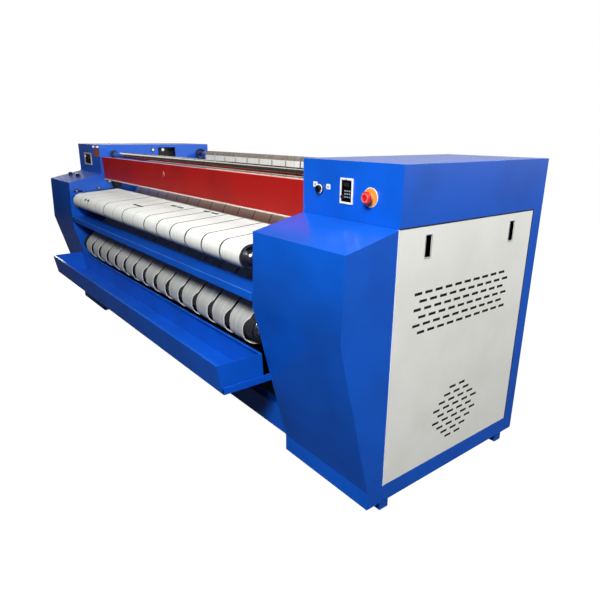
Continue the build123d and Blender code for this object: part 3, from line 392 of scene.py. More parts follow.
PLATE_ORANGE = Finish("bare_plate_orange", "#A85A2C", 0.5, second="#8A4526")
PLATE_WHITE = Finish("bare_plate_white", "#ECECEA", 0.5)
DISPLAY = Finish("display_window", "#050607", 0.2, second="#09090B")
DIGITS = Finish("display_digits", "#5A1410", 0.4, glow=0.12)
UNLIT = Finish("display_digits_unlit", "#3A3030", 0.5)
LAMP = Finish("lamp_lens", "#F4F5F2", 0.15, glow=0.15)
# dark steel; on the feed bed it is painted shade in the seams between the belts
DARK_STEEL = Finish("dark_steel_and_seam_shade", "#1A1B20", 0.55)
KEY_GREY = Finish("moulded_key_grey", "#A4A8A8", 0.45)
MARK_GREY = Finish("plate_middle_grey", "#6F86A8", 0.5)
# pink ring on the stop's red face: a painted highlight
RING_HIGHLIGHT = Finish("red_moulding_painted_highlight", "#EE7A74", 0.35)


class Slot(Enum):
    """The record's material slots, each with the finish that it gets."""

    blue_paint = BLUE_COAT
    panel_paint = PALE_COAT
    red_paint = RED_COAT
    feed_canvas = CANVAS
    ironing_felt = FELT
    polished_drum = POLISHED
    roller_steel = TURNED
    plain_steel = MILD
    zinc_plate = ZINC
    bearing_iron = IRON
    pulley_alloy = ALLOY
    belt_rubber = RUBBER
    motor_paint = MOTOR
    inverter_plastic = DARK_PLASTIC
    white_plastic = WHITE_PLASTIC
    black_plastic = BLACK_PLASTIC
    grey_plastic = GREY_PLASTIC
    stop_red = STOP_RED
    stop_amber = STOP_AMBER
    dark_steel = DARK_STEEL


NODE_SLOTS = {part["node"]: Slot[part["material_slot"]] for part in frame["record"]["subparts"]}
NODE_BODIES = {
    node: body for body, nodes in frame["record"]["behaviour"]["bodies"].items() for node in nodes
}
JOINT_PLACES = {
    joint["child"]: Vector(joint["pos_m"]) for joint in frame["joints"] if "pos_m" in joint
}


def dress_cad_nodes() -> None:
    """Give every CAD node the finish that its material slot names."""
    for node, slot in NODE_SLOTS.items():
        materials = frame["nodes"][node].data.materials
        materials.clear()
        materials.append(slot.value.material())


# ---------------------------------------------------------------- bench work
def activate(piece: Piece) -> None:
    """Select one piece alone and make it the active one.

    Args:
        piece: The piece.
    """
    bpy.ops.object.select_all(action="DESELECT")
    piece.select_set(True)
    bpy.context.view_layer.objects.active = piece


@contextmanager
def editing(piece: Piece, kind: str = "FACE", whole: bool = False) -> Iterator[None]:
    """Work on a piece in edit mode.

    Args:
        piece: The piece.
        kind: What is selected in it: VERT, EDGE or FACE.
        whole: Whether all of it is selected first.

    Yields:
        Nothing; the piece is in edit mode meanwhile.
    """
    activate(piece)
    bpy.ops.object.mode_set(mode="EDIT")
    bpy.ops.mesh.select_mode(type=kind)
    if whole:
        bpy.ops.mesh.select_all(action="SELECT")
    yield
    bpy.ops.object.mode_set(mode="OBJECT")


def deselect(mesh: bpy.types.Mesh) -> None:
    """Deselect all of a mesh."""
    for parts in (mesh.vertices, mesh.edges, mesh.polygons):
        parts.foreach_set("select", [False] * len(parts))


def select_faces(piece: Piece, test: Callable[[Vector, Vector], bool]) -> None:
    """Select the faces of a piece whose centre and normal pass a test.

    Args:
        piece: The piece, in object mode.
        test: Takes a face's centre and normal.
    """
    deselect(piece.data)
    for face in piece.data.polygons:
        face.select = test(face.center, face.normal)


def select_edges(piece: Piece, test: Callable[[Vector, Vector], bool]) -> None:
    """Select the edges of a piece whose two ends pass a test.

    Args:
        piece: The piece, in object mode.
        test: Takes the edge's two ends.
    """
    deselect(piece.data)
    for edge in piece.data.edges:
        first, second = (piece.data.vertices[number] for number in edge.vertices)
        if test(first.co, second.co):
            edge.select = first.select = second.select = True


def select_points(piece: Piece, test: Callable[[Vector], bool]) -> None:
    """Select the points of a piece that pass a test.

    Args:
        piece: The piece, in object mode.
        test: Takes a point's place.
    """
    deselect(piece.data)
    for point in piece.data.vertices:
        point.select = test(point.co)


def off_axis(point: Vector, axis: Vector) -> float:
    """Tell how far a point lies from a line along X, in metres."""
    return math.hypot(point.y - axis.y, point.z - axis.z)


def new_piece(name: str) -> Piece:
    """Take the primitive that was just added, apply its size and place, and name it.

    Args:
        name: Its new name.

    Returns:
        The piece, at the origin and unscaled.
    """
    piece = bpy.context.object
    piece.name = name
    piece.data.name = name
    bpy.ops.object.transform_apply(location=True, rotation=True, scale=True)
    return piece


def block(name: str, low: Vector, high: Vector) -> Piece:
    """Add a block between two corners.

    Args:
        name: Its name.
        low: Lowest corner, in metres.
        high: Highest corner.

    Returns:
        The block.
    """
    bpy.ops.mesh.primitive_cube_add(size=1.0, location=(low + high) / 2, scale=high - low)
    return new_piece(name)


def cylinder(
    name: str, foot: Vector, axis: Vector, radius_mm: float, height_mm: float, sides: int = 48
) -> Piece:
    """Add a round bar that stands on its foot point.

    Args:
        name: Its name.
        foot: Middle of its lower end, in metres.
        axis: The way it points.
        radius_mm: Its radius.
        height_mm: Its length.
        sides: How many sides it has.

    Returns:
        The bar.
    """
    height = height_mm * MM
    bpy.ops.mesh.primitive_cylinder_add(
        vertices=sides,
        radius=radius_mm * MM,
        depth=height,
        location=foot + axis.normalized() * height / 2,
        rotation=axis.to_track_quat("Z", "Y").to_euler(),
    )
    return new_piece(name)


def apply_modifier(piece: Piece, kind: str, **settings: object) -> None:
    """Add a modifier and apply it.

    Args:
        piece: The piece.
        kind: The modifier's type.
        **settings: Its properties.
    """
    activate(piece)
    modifier = piece.modifiers.new(kind.lower(), kind)
    for name, value in settings.items():
        setattr(modifier, name, value)
    bpy.ops.object.modifier_apply(modifier=modifier.name)


def soften(piece: Piece, width_mm: float, segments: int = 2) -> None:
    """Round a piece's sharp edges and shade it smooth up to them.

    Args:
        piece: The piece.
        width_mm: The rounding's width, in millimetres.
        segments: How many steps it has.
    """
    apply_modifier(
        piece,
        "BEVEL",
        width=width_mm * MM,
        segments=segments,
        limit_method="ANGLE",
        angle_limit=math.radians(28),
        use_clamp_overlap=True,
    )
    shade(piece)
    apply_modifier(piece, "WEIGHTED_NORMAL", keep_sharp=True, weight=100)


def shade(piece: Piece, degrees: float = 32.0) -> None:
    """Shade a piece smooth, except over edges sharper than an angle."""
    activate(piece)
    bpy.ops.object.shade_smooth_by_angle(angle=math.radians(degrees))


def recess(piece: Piece, way: Vector, rim_mm: float, rise_mm: float = 0.0) -> None:
    """Inset the faces that look one way, and move their middle out or in.

    Args:
        piece: The piece.
        way: Where the faces look.
        rim_mm: How wide a rim stays round them.
        rise_mm: How far their middle moves out; below 0 it sinks in.
    """
    select_faces(piece, lambda c, n: n.dot(way) > 0.99)
    with editing(piece):
        bpy.ops.mesh.inset(thickness=rim_mm * MM)
        if rise_mm:
            bpy.ops.mesh.extrude_region_move(TRANSFORM_OT_translate={"value": rise_mm * MM * way})


def pierce(piece: Piece, way: Vector, wall_mm: float) -> None:
    """Open a piece from end to end, and leave a wall all round.

    Args:
        piece: The piece.
        way: The direction of the hole.
        wall_mm: How thick the wall is.
    """
    select_faces(piece, lambda c, n: abs(n.dot(way)) > 0.99)
    with editing(piece):
        bpy.ops.mesh.inset(thickness=wall_mm * MM)
        bpy.ops.mesh.bridge_edge_loops()


def join(name: str, pieces: list[Piece]) -> Piece:
    """Join pieces into one.

    Args:
        name: The joined piece's name.
        pieces: The pieces.

    Returns:
        The joined piece.
    """
    activate(pieces[0])
    for piece in pieces:
        piece.select_set(True)
    bpy.ops.object.join()
    pieces[0].name = name
    pieces[0].data.name = name
    return pieces[0]


def repeat(pattern: Piece, name: str, shifts: list[Vector]) -> Piece:
    """Copy a piece to several places, join the copies and drop the piece.

    Args:
        pattern: The piece.
        name: The joined piece's name.
        shifts: How far each copy moves, in metres.

    Returns:
        The joined piece.
    """
    copies = []
    for shift in shifts:
        activate(pattern)
        bpy.ops.object.duplicate(linked=False)
        copies.append(bpy.context.object)
        copies[-1].location = shift
        bpy.ops.object.transform_apply(location=True, rotation=False, scale=False)
    bpy.data.objects.remove(pattern)
    return join(name, copies)


def cad_copy(node: str, name: str) -> Piece:
    """Copy a CAD node's mesh, merged into one skin with its flat faces whole again.

    Args:
        node: The CAD node.
        name: The copy's name.

    Returns:
        The copy, outside any body.
    """
    copy = bpy.data.objects.new(name, frame["nodes"][node].data.copy())
    copy.data.name = name
    bpy.context.scene.collection.objects.link(copy)
    activate(copy)
    if copy.data.has_custom_normals:
        bpy.ops.mesh.customdata_custom_splitnormals_clear()
    with editing(copy, whole=True):
        bpy.ops.mesh.remove_doubles(threshold=0.02 * MM)
        bpy.ops.mesh.dissolve_limited(angle_limit=math.radians(0.5))
    return copy


def hand_over(
    piece: Piece,
    slot: Slot,
    *nodes: str,
    body: str | None = None,
    finish: Finish | None = None,
) -> Piece:
    """Dress a piece, let it ride its body and stand for its CAD nodes, and report it.

    Args:
        piece: The finished mesh.
        slot: The record's material slot that it takes its finish from.
        *nodes: The CAD nodes that it replaces.
        body: The body it rides, where it replaces no node.
        finish: Its finish, where it isn't the slot's own.

    Returns:
        The piece.
    """
    if finish or not piece.data.materials:
        piece.data.materials.clear()
        piece.data.materials.append((finish or slot.value).material())
    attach(piece, body or NODE_BODIES[nodes[0]])
    if nodes:
        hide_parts(*nodes)
    log.info("%-28s %6d faces", piece.name, len(piece.data.polygons))
    return piece


def paint(piece: Piece, finishes: list[Finish], pick: Callable[[Face], int]) -> None:
    """Give a piece several finishes.

    Args:
        piece: The piece.
        finishes: Its finishes, in order.
        pick: Takes a face; tells the number of its finish.
    """
    numbers = [int(pick(face)) for face in piece.data.polygons]
    piece.data.materials.clear()
    for finish in finishes:
        piece.data.materials.append(finish.material())
    piece.data.polygons.foreach_set("material_index", numbers)
    piece.data.update()


def paint_fold_highlights(piece: Piece, lip: float, front: float) -> None:
    """Paint a blue sheet piece's narrow rounded folds at its front lip a lighter blue, as a painted highlight.

    Args:
        piece: The softened piece.
        lip: Lowest Z of the folds that count.
        front: Highest Y of the same.
    """
    points = piece.data.vertices

    def is_fold(face: Face) -> bool:
        """Tell whether a face is a long and narrow one at the lip.

        Args:
            face: The face.

        Returns:
            Whether it is.
        """
        ends = [points[number].co for number in face.vertices]
        longest = max((a - b).length for a, b in zip(ends, ends[1:] + ends[:1], strict=True))
        narrow = face.area / longest < FOLD_WIDTH * MM and longest > FOLD_LENGTH * MM
        return narrow and face.center.z > lip and face.center.y < front

    paint(piece, [BLUE_COAT, BLUE_HIGHLIGHT], is_fold)


def soften_copy(
    node: str,
    width_mm: float,
    segments: int = 2,
    name: str = "",
    finish: Finish | None = None,
) -> Piece:
    """Let a copy of a CAD node with softened edges stand for it.

    Args:
        node: The CAD node.
        width_mm: How wide its edges are rounded, in millimetres.
        segments: How many steps the rounding has.
        name: The copy's name, where it isn't the node's with "_finished".
        finish: Its finish, where it isn't the one of the node's slot.

    Returns:
        The copy.
    """
    piece = cad_copy(node, name or f"{node}_finished")
    soften(piece, width_mm, segments)
    return hand_over(piece, NODE_SLOTS[node], node, finish=finish)


def ridge(
    name: str, start: Vector, stop: Vector, width_mm: float, height_mm: float, lift: Vector
) -> Piece:
    """Model a slim strip that lies on a surface, its long edges rolled off.

    Args:
        name: Its name.
        start: Middle of one end, on the surface.
        stop: Middle of the other end.
        width_mm: Its width.
        height_mm: How far it stands off the surface.
        lift: The surface's normal.

    Returns:
        The strip.
    """
    along = (stop - start).normalized()
    across = lift.normalized().cross(along)
    length = (stop - start).length
    strip = block(
        name,
        Vector((-length / 2, -width_mm * MM / 2, 0.0)),
        Vector((length / 2, width_mm * MM / 2, height_mm * MM)),
    )
    soften(strip, min(width_mm, height_mm) * 0.35, 2)
    axes = Matrix((along, across, lift.normalized())).transposed()
    strip.matrix_world = Matrix.Translation((start + stop) / 2) @ axes.to_4x4()
    activate(strip)
    bpy.ops.object.transform_apply(location=True, rotation=True, scale=True)
    return strip


def mm(x: float, y: float, z: float) -> Vector:
    """Turn a place in millimetres into metres."""
    return Vector((x, y, z)) * MM


@dataclass(frozen=True)
class Wheel:
    """A roller or drum that a belt runs round; turn is -1 where it passes with its outer face."""

    body: str
    radius: float
    turn: int = 1

    @property
    def middle(self) -> Vector:
        """Its axis in the YZ plane, in millimetres."""
        place = JOINT_PLACES[self.body] / MM
        return Vector((place.y, place.z))


@dataclass(frozen=True)
class Run:
    """A belt's straight run from one wheel to the next, in the YZ plane, in millimetres."""

    leave: Vector
    meet: Vector
    normal_angle: float

    @classmethod
    def between(cls, first: Wheel, second: Wheel) -> "Run":
        """Find the run that touches two wheels.

        Args:
            first: The wheel that the belt leaves.
            second: The wheel that it meets.

        Returns:
            The run.
        """
        span = second.middle - first.middle
        signed = (first.turn * first.radius, second.turn * second.radius)
        angle = math.atan2(span.y, span.x) - math.acos((signed[0] - signed[1]) / span.length)
        normal = Vector((math.cos(angle), math.sin(angle)))
        return cls(first.middle + signed[0] * normal, second.middle + signed[1] * normal, angle)


@dataclass
class EndlessBelt:
    """A flat belt that runs round its wheels, with a strip along both edges in a second finish."""

    name: str
    wheels: list[Wheel]
    left: float
    right: float
    thickness: float
    edge_strip: float
    chord: float = 9.0  # length of one step round a wheel

    def offset_wheels(self) -> list[Wheel]:
        """Give the wheels the radius of the belt's face that lies on them."""
        return [
            Wheel(w.body, w.radius + BELT_GAP + (self.thickness if w.turn < 0 else 0), w.turn)
            for w in self.wheels
        ]

    def build(self) -> Piece:
        """Run the belt's inner face round the wheels.

        Returns:
            The belt as one thin closed band, its normals outward.
        """
        wheels = self.offset_wheels()
        count = len(wheels)
        runs = [Run.between(wheels[i], wheels[(i + 1) % count]) for i in range(count)]
        first = runs[0]
        line = first.meet - first.leave
        middle = (first.leave + first.meet) / 2
        bpy.ops.mesh.primitive_plane_add(
            size=1.0,
            location=mm((self.left + self.right) / 2, middle.x, middle.y),
            rotation=(math.atan2(line.y, line.x), 0.0, 0.0),
        )
        bpy.context.object.scale = ((self.right - self.left) * MM, line.length * MM, 1.0)
        belt = new_piece(self.name)
        for x in (self.left + self.edge_strip, self.right - self.edge_strip):
            with editing(belt, whole=True):
                bpy.ops.mesh.bisect(plane_co=mm(x, 0, 0), plane_no=TO_THE_RIGHT)
        end = mm(0, first.meet.x, first.meet.y)
        select_edges(belt, lambda a, b: max(off_axis(a, end), off_axis(b, end)) < 0.01 * MM)
        with editing(belt, "EDGE"):
            for i in range(1, count + 1):
                wheel = wheels[i % count]
                leave = runs[i % count]
                turned = wheel.turn * (leave.normal_angle - runs[i - 1].normal_angle)
                sweep = turned % (2 * math.pi)
                bpy.ops.mesh.spin(
                    steps=max(6, math.ceil(sweep * wheel.radius / self.chord)),
                    angle=-wheel.turn * sweep,  # the operator turns the other way round
                    center=mm(0, wheel.middle.x, wheel.middle.y),
                    axis=TO_THE_RIGHT,
                )
                if i < count:
                    step = leave.meet - leave.leave
                    bpy.ops.mesh.extrude_edges_move(
                        TRANSFORM_OT_translate={"value": mm(0, step.x, step.y)}
                    )
            bpy.ops.mesh.select_all(action="SELECT")
            bpy.ops.mesh.remove_doubles(threshold=0.05 * MM)
            bpy.ops.mesh.normals_make_consistent(inside=False)
        outward = Vector((0.0, math.cos(first.normal_angle), math.sin(first.normal_angle)))
        if belt.data.polygons[0].normal.dot(outward) < 0:
            with editing(belt, whole=True):
                bpy.ops.mesh.flip_normals()
        return belt

    def thicken(self, belt: Piece, face: Finish, edge: Finish) -> None:
        """Give the belt its thickness, its softened edges and its two finishes.

        Args:
            belt: The thin band.
            face: Finish of its faces.
            edge: Finish of its edge strips and edges.
        """
        low, high = self.left + self.edge_strip, self.right - self.edge_strip
        for polygon in belt.data.polygons:
            span = [belt.data.vertices[number].co.x / MM for number in polygon.vertices]
            polygon.material_index = 0 if min(span) < low + 0.5 and max(span) > high - 60 else 1
        belt.data.materials.append(face.material())
        belt.data.materials.append(edge.material())
        apply_modifier(
            belt,
            "SOLIDIFY",
            thickness=self.thickness * MM,
            offset=1.0,
            use_even_offset=True,
            material_offset_rim=1,
        )
        soften(belt, 0.8, 1)


def turned_end(
    name: str,
    middle: Vector,
    radius_mm: float,
    side: int,
    span: Pair,
    steps: tuple[Pair, ...],
    sides: int = 64,
) -> Piece:
    """Turn a disc round a roller's axis, its outer end stepped by insets and extrusions.

    Args:
        name: Its name.
        middle: A point on the axis, in metres.
        radius_mm: Its radius.
        side: 1 for the roller's right end, -1 for its left one.
        span: How far its inner and its outer face lie from the machine's middle.
        steps: Each step's inset and reach, from the rim inward.
        sides: How many sides it has.

    Returns:
        The disc, its edges softened.
    """
    inner, outer = span
    foot = Vector((min(side * inner, side * outer) * MM, middle.y, middle.z))
    disc = cylinder(name, foot, TO_THE_RIGHT, radius_mm, outer - inner, sides)
    end = side * outer * MM
    select_faces(disc, lambda c, n: abs(c.x - end) < 0.01 * MM and abs(n.x) > 0.9)
    with editing(disc):
        for inset, reach in steps:
            bpy.ops.mesh.inset(thickness=inset * MM, use_boundary=True)
            out = mm(side * reach, 0, 0)
            bpy.ops.mesh.extrude_region_move(TRANSFORM_OT_translate={"value": out})
    soften(disc, 0.6, 1)
    return disc


@dataclass
class FeedConveyor:
    """The canvas feed belts, their two rollers, bearings, bed and lacing."""

    belt_count: int = 14
    first_edge: float = -1160.0
    pitch: float = 166.0
    belt_width: float = 162.0
    open_seam: float = 4.6  # how much further apart the belts lie at an open seam
    tight_seams: tuple[int, ...] = (0, 1, 2, 4, 6)
    thickness: float = 3.0
    front_radius: float = 49.5
    rear_radius: float = 25.0
    barrel_half: float = 1170.0
    # lacing rows on the top run: where they start and stop across the machine, and their depth
    lacings: tuple[Triple, ...] = (
        (-278.0, -146.0, -381.0),
        (-35.0, 112.0, -240.0),
        (303.0, 454.0, -202.0),
    )
    # the row on the front roller: where it starts and stops, and its angle in degrees
    rounded_lacing: Pair = (-905.0, -800.0)
    rounded_angle: float = 141.0
    lagged: Pair = (16.5, 60.0)  # inner and outer radius of the front roller's lagged faces
    plate_length: float = 26.0
    plate_width: float = 15.0
    plate_height: float = 2.2

    @property
    def wheels(self) -> list[Wheel]:
        """The rear and the front roller, the top run first."""
        return [Wheel("feed_rear", self.rear_radius), Wheel("feed_front", self.front_radius)]

    def build(self) -> None:
        """Build and dress all of it."""
        self.lay_belts()
        self.lace_belts()
        self.turn_rollers()
        self.fit_bed()

    def lay_belts(self) -> None:
        """Model one belt and copy it, each copy as wide as its seams leave it."""
        spare = self.open_seam / 2
        left, right = self.first_edge + spare, self.first_edge + self.belt_width - spare
        maker = EndlessBelt("feed_belt", self.wheels, left, right, self.thickness, 1.4)
        belt = maker.build()
        # the edge strips take dark grey as painted shade in the seams
        maker.thicken(belt, CANVAS, CANVAS_SEAM_SHADE)
        shifts = [mm(i * self.pitch, 0, 0) for i in range(self.belt_count)]
        belts = repeat(belt, "feed_belts_canvas", shifts)
        edges = [(right + i * self.pitch - 4.0) * MM for i in self.tight_seams]
        select_points(belts, lambda p: any(edge < p.x < edge + 6.0 * MM for edge in edges))
        with editing(belts, "VERT"):
            bpy.ops.transform.translate(value=mm(self.open_seam + 3.9, 0, 0))
        hand_over(belts, Slot.feed_canvas, "feed_belts")

    def lace_belts(self) -> None:
        """Press the rows of black lacing plates into the belts where their ends meet."""
        rear, front = (Wheel(w.body, w.radius + BELT_GAP + self.thickness) for w in self.wheels)
        run = Run.between(rear, front)
        lean = math.atan2(run.meet.y - run.leave.y, run.meet.x - run.leave.x)
        plates = []
        for start, stop, depth in self.lacings:
            share = (depth - run.leave.x) / (run.meet.x - run.leave.x)
            height = run.leave.y + share * (run.meet.y - run.leave.y)
            for place in (start + 13, start + 44, stop - 52, stop - 13):
                plates.append(self.press_plate(mm(place, depth, height), lean + math.pi))
        angle = math.radians(self.rounded_angle)
        depth = front.middle.x + front.radius * math.cos(angle)
        height = front.middle.y + front.radius * math.sin(angle)
        for place in (self.rounded_lacing[0] + 14, self.rounded_lacing[1] - 32):
            plates.append(self.press_plate(mm(place, depth, height), angle - math.pi / 2))
        row = join("feed_belt_lacing", plates)
        hand_over(row, Slot.black_plastic, body="root", finish=LACING)

    def press_plate(self, place: Vector, lean: float) -> Piece:
        """Press one lacing plate into a belt.

        Args:
            place: Its middle, on the belt's skin, in metres.
            lean: How far it's turned round X.

        Returns:
            The plate, its edges rolled off.
        """
        low = mm(-self.plate_length / 2, -self.plate_width / 2, -1.0)
        high = mm(self.plate_length / 2, self.plate_width / 2, self.plate_height)
        plate = block("lacing_plate", low, high)
        recess(plate, UP, 3.5, -0.8)
        soften(plate, 0.6)
        plate.rotation_euler = (lean, 0.0, 0.0)
        plate.location = place
        activate(plate)
        bpy.ops.object.transform_apply(location=True, rotation=True, scale=False)
        return plate

    def turn_rollers(self) -> None:
        """Turn the front roller's end discs and hubs, and soften the rear roller."""
        front = cad_copy("feed_roller_front", "feed_roller_front_turned")
        soften(front, 0.8)
        place = JOINT_PLACES["feed_front"]
        barrel = (self.barrel_half + 1) * MM
        inner, outer = self.lagged

        def is_lagged(face: Face) -> bool:
            """Tell whether a face lies on the rubber barrel."""
            return abs(face.center.x) < barrel and inner < off_axis(face.center, place) / MM < outer

        paint(front, [TURNED, LAGGING], is_lagged)
        hand_over(front, Slot.roller_steel, "feed_roller_front")
        span = (self.barrel_half - 8.0, self.barrel_half + 12.0)
        steps = ((2.0, 3.0), (3.0, 2.0))
        for side, word in SIDES:
            hub = turned_end(f"feed_roller_hub_{word}", place, 24.0, side, span, steps, 40)
            hand_over(hub, Slot.roller_steel, body="feed_front")
        soften_copy("feed_roller_rear", 0.8, name="feed_roller_rear_turned")

    def fit_bed(self) -> None:
        """Fold the slider bed's edges, give the bed dark steel as painted shade in the seams between the belts,
        and soften the bearings.
        """
        soften_copy("feed_bed", 0.8, name="feed_bed_folded", finish=DARK_STEEL)
        soften_copy("feed_bearings", 2.0, name="feed_bearing_castings")


@dataclass
class IroningSection:
    """The heated drum, the felt ironing belts, and the rollers that carry them."""

    belt_count: int = 14
    first_edge: float = -1096.7
    pitch: float = 160.6
    belt_width: float = 149.6
    thickness: float = 4.0
    return_radius: float = 64.0
    rear_radius: float = 28.0
    drum_radius: float = 300.0
    nip_radius: float = 35.0
    crescent: float = 33.0  # how far each belt's right edge draws in on the return roller
    edge_lift: float = 5.0  # how far the same edge stands off the roller
    slack: float = 13.0  # how far the belts hang off the return roller's underside
    drawn_arc: Pair = (130.0, 266.0)  # where the edge draws in, in degrees
    slack_arc: Pair = (190.0, 330.0)  # where the belts hang off
    browned: float = 45.0  # how far from the rear top roller's axis the felt is brown
    bleached: Pair = (450.0, 900.0)  # lowest Y and Z of the strand painted almost white as painted light
    barrel_half: float = 1170.0
    # inner and outer radius of each bright ring on the return roller's discs
    bright_rings: tuple[Pair, ...] = ((33.0, 37.5), (45.0, 49.0))

    @property
    def wheels(self) -> list[Wheel]:
        """The rollers in the order that the belt meets them, the front strand first."""
        return [
            Wheel("nip", self.nip_radius),
            Wheel("return", self.return_radius),
            Wheel("rear_lower", self.rear_radius),
            Wheel("rear_top", self.rear_radius),
            Wheel("drum", self.drum_radius, -1),
        ]

    def build(self) -> None:
        """Build and dress all of it."""
        self.lay_belts()
        self.turn_return_roller()
        self.turn_slim_rollers()
        self.finish_drum()

    def lay_belts(self) -> None:
        """Model one belt with its drawn-in edge, and copy it."""
        left, right = self.first_edge, self.first_edge + self.belt_width
        maker = EndlessBelt("ironing_belt", self.wheels, left, right, self.thickness, 3.5)
        belt = maker.build()
        self.draw_edge_in(belt, right, maker.edge_strip)
        # the edge strips take almost white as a painted highlight
        maker.thicken(belt, FELT, FELT_EDGE_HIGHLIGHT)
        self.brown_the_bend(belt)
        shifts = [mm(i * self.pitch, 0, 0) for i in range(self.belt_count)]
        belts = repeat(belt, "ironing_belts_felt", shifts)
        hand_over(belts, Slot.ironing_felt, "ironing_belts")

    def brown_the_bend(self, belt: Piece) -> None:
        """Paint the felt over the rear top roller's bend a darker brown-grey, and the strand that leaves it almost
        white as painted light.

        Args:
            belt: The thickened belt.
        """
        axis = JOINT_PLACES["rear_top"]
        low_y, low_z = (edge * MM for edge in self.bleached)

        def tell(face: Face) -> int:
            """Tell a face's finish by where it lies on the belt's way.

            Args:
                face: The face.

            Returns:
                The finish's number.
            """
            c = face.center
            if off_axis(c, axis) < self.browned * MM and c.z > axis.z + 6 * MM:
                return 2
            leaving = low_y < c.y < axis.y - 20 * MM and c.z > low_z
            return 3 if leaving and face.material_index == 0 else face.material_index

        paint(belt, [FELT, FELT_EDGE_HIGHLIGHT, BEND_TOP_FELT, LIT_STRAND_FELT], tell)

    def draw_edge_in(self, belt: Piece, right: float, strip: float) -> None:
        """Draw the right edge in on the return roller, most at the roller's front.

        Args:
            belt: The thin band.
            right: Where its right edge is, in millimetres.
            strip: How wide its edge strip is.
        """
        axis = JOINT_PLACES["return"]
        edge = (right - strip - 0.5) * MM
        start, stop = (math.radians(angle) for angle in self.drawn_arc)
        loose, tight = (math.radians(angle) for angle in self.slack_arc)
        near = (self.return_radius + 2.0) * MM
        angles = sorted(
            {
                round(math.atan2(p.co.z - axis.z, p.co.y - axis.y) % (2 * math.pi), 4)
                for p in belt.data.vertices
                if off_axis(p.co, axis) < near
            }
        )
        for angle in angles:
            way = Vector((0.0, math.cos(angle), math.sin(angle)))
            sag = (angle - loose) / (tight - loose)
            if 0 < sag < 1:
                drop = self.slack * MM * math.sin(math.pi * sag)
                self.move_line(belt, angle, near, -math.inf, drop * way)
            share = (angle - start) / (stop - start)
            if 0 < share < 1:
                bow = math.sin(math.pi * share)
                shift = mm(-self.crescent * bow**0.55, 0, 0) + self.edge_lift * MM * bow * way
                self.move_line(belt, angle, near + self.slack * MM, edge, shift)

    def move_line(self, belt: Piece, angle: float, near: float, edge: float, shift: Vector) -> None:
        """Move one line of points across the belt on the return roller.

        Args:
            belt: The thin band.
            angle: The line's angle round the roller.
            near: How far from the roller's axis its points lie at most, in metres.
            edge: Lowest X that moves.
            shift: How far it moves.
        """
        axis = JOINT_PLACES["return"]

        def on_this_line(p: Vector) -> bool:
            """Tell whether a point lies on the line and beyond the edge.

            Args:
                p: The point.

            Returns:
                Whether it does.
            """
            if p.x < edge or off_axis(p, axis) > near:
                return False
            turn = math.atan2(p.z - axis.z, p.y - axis.y) % (2 * math.pi)
            return abs(turn - angle) < 0.002

        select_points(belt, on_this_line)
        with editing(belt, "VERT"):
            bpy.ops.transform.translate(value=shift)

    def turn_return_roller(self) -> None:
        """Lag the return roller and cut the rings of its end discs."""
        roller = cad_copy("return_roller", "return_roller_lagged")
        soften(roller, 0.8)
        place = JOINT_PLACES["return"]
        paint(roller, [TURNED, LAGGING], lambda f: off_axis(f.center, place) / MM > 17)
        hand_over(roller, Slot.roller_steel, "return_roller")
        span = (self.barrel_half - 6.0, self.barrel_half + 1.0)
        steps = ((3.0, -4.0), (7.0, 5.0), (3.0, -5.0), (8.0, 6.0), (4.0, 8.0))

        def is_bright(face: Face) -> bool:
            """Tell whether a face lies on one of the bright rings."""
            reach = off_axis(face.center, place) / MM
            return any(inner < reach <= outer for inner, outer in self.bright_rings)

        for side, word in SIDES:
            disc = turned_end(f"return_roller_disc_{word}", place, 58.0, side, span, steps)
            paint(disc, [DARK_STEEL, ZINC], is_bright)
            hand_over(disc, Slot.dark_steel, body="return")

    def turn_slim_rollers(self) -> None:
        """Soften the slim rollers and the bearing castings."""
        for node in ("nip_roller", "rear_top_roller", "rear_lower_roller"):
            soften_copy(node, 0.8, name=f"{node}_turned")
        self.ring_rear_roller()
        for node in ("roller_bearings", "drum_bearings"):
            soften_copy(node, 2.5, name=f"{node}_cast")

    def ring_rear_roller(self) -> None:
        """Press the black shaft seals onto the plates, round the rear top roller's ends."""
        place = JOINT_PLACES["rear_top"]
        rings = []
        for side in (-1, 1):
            foot = Vector((side * (PLATE_X + 0.2) * MM, place.y, place.z))
            inward = -side * TO_THE_RIGHT
            ring = cylinder(f"shaft_seal_{len(rings)}", foot, inward, 46.0, 16.0)
            pierce(ring, inward, 14.0)
            soften(ring, 2.0)
            rings.append(ring)
        hand_over(join("rear_shaft_seals", rings), Slot.black_plastic, body="root", finish=RUBBER)

    def finish_drum(self) -> None:
        """Soften the drum's shell and its end plates."""
        soften_copy("drum_shell", 1.5)
        soften_copy("drum_ends", 1.5)


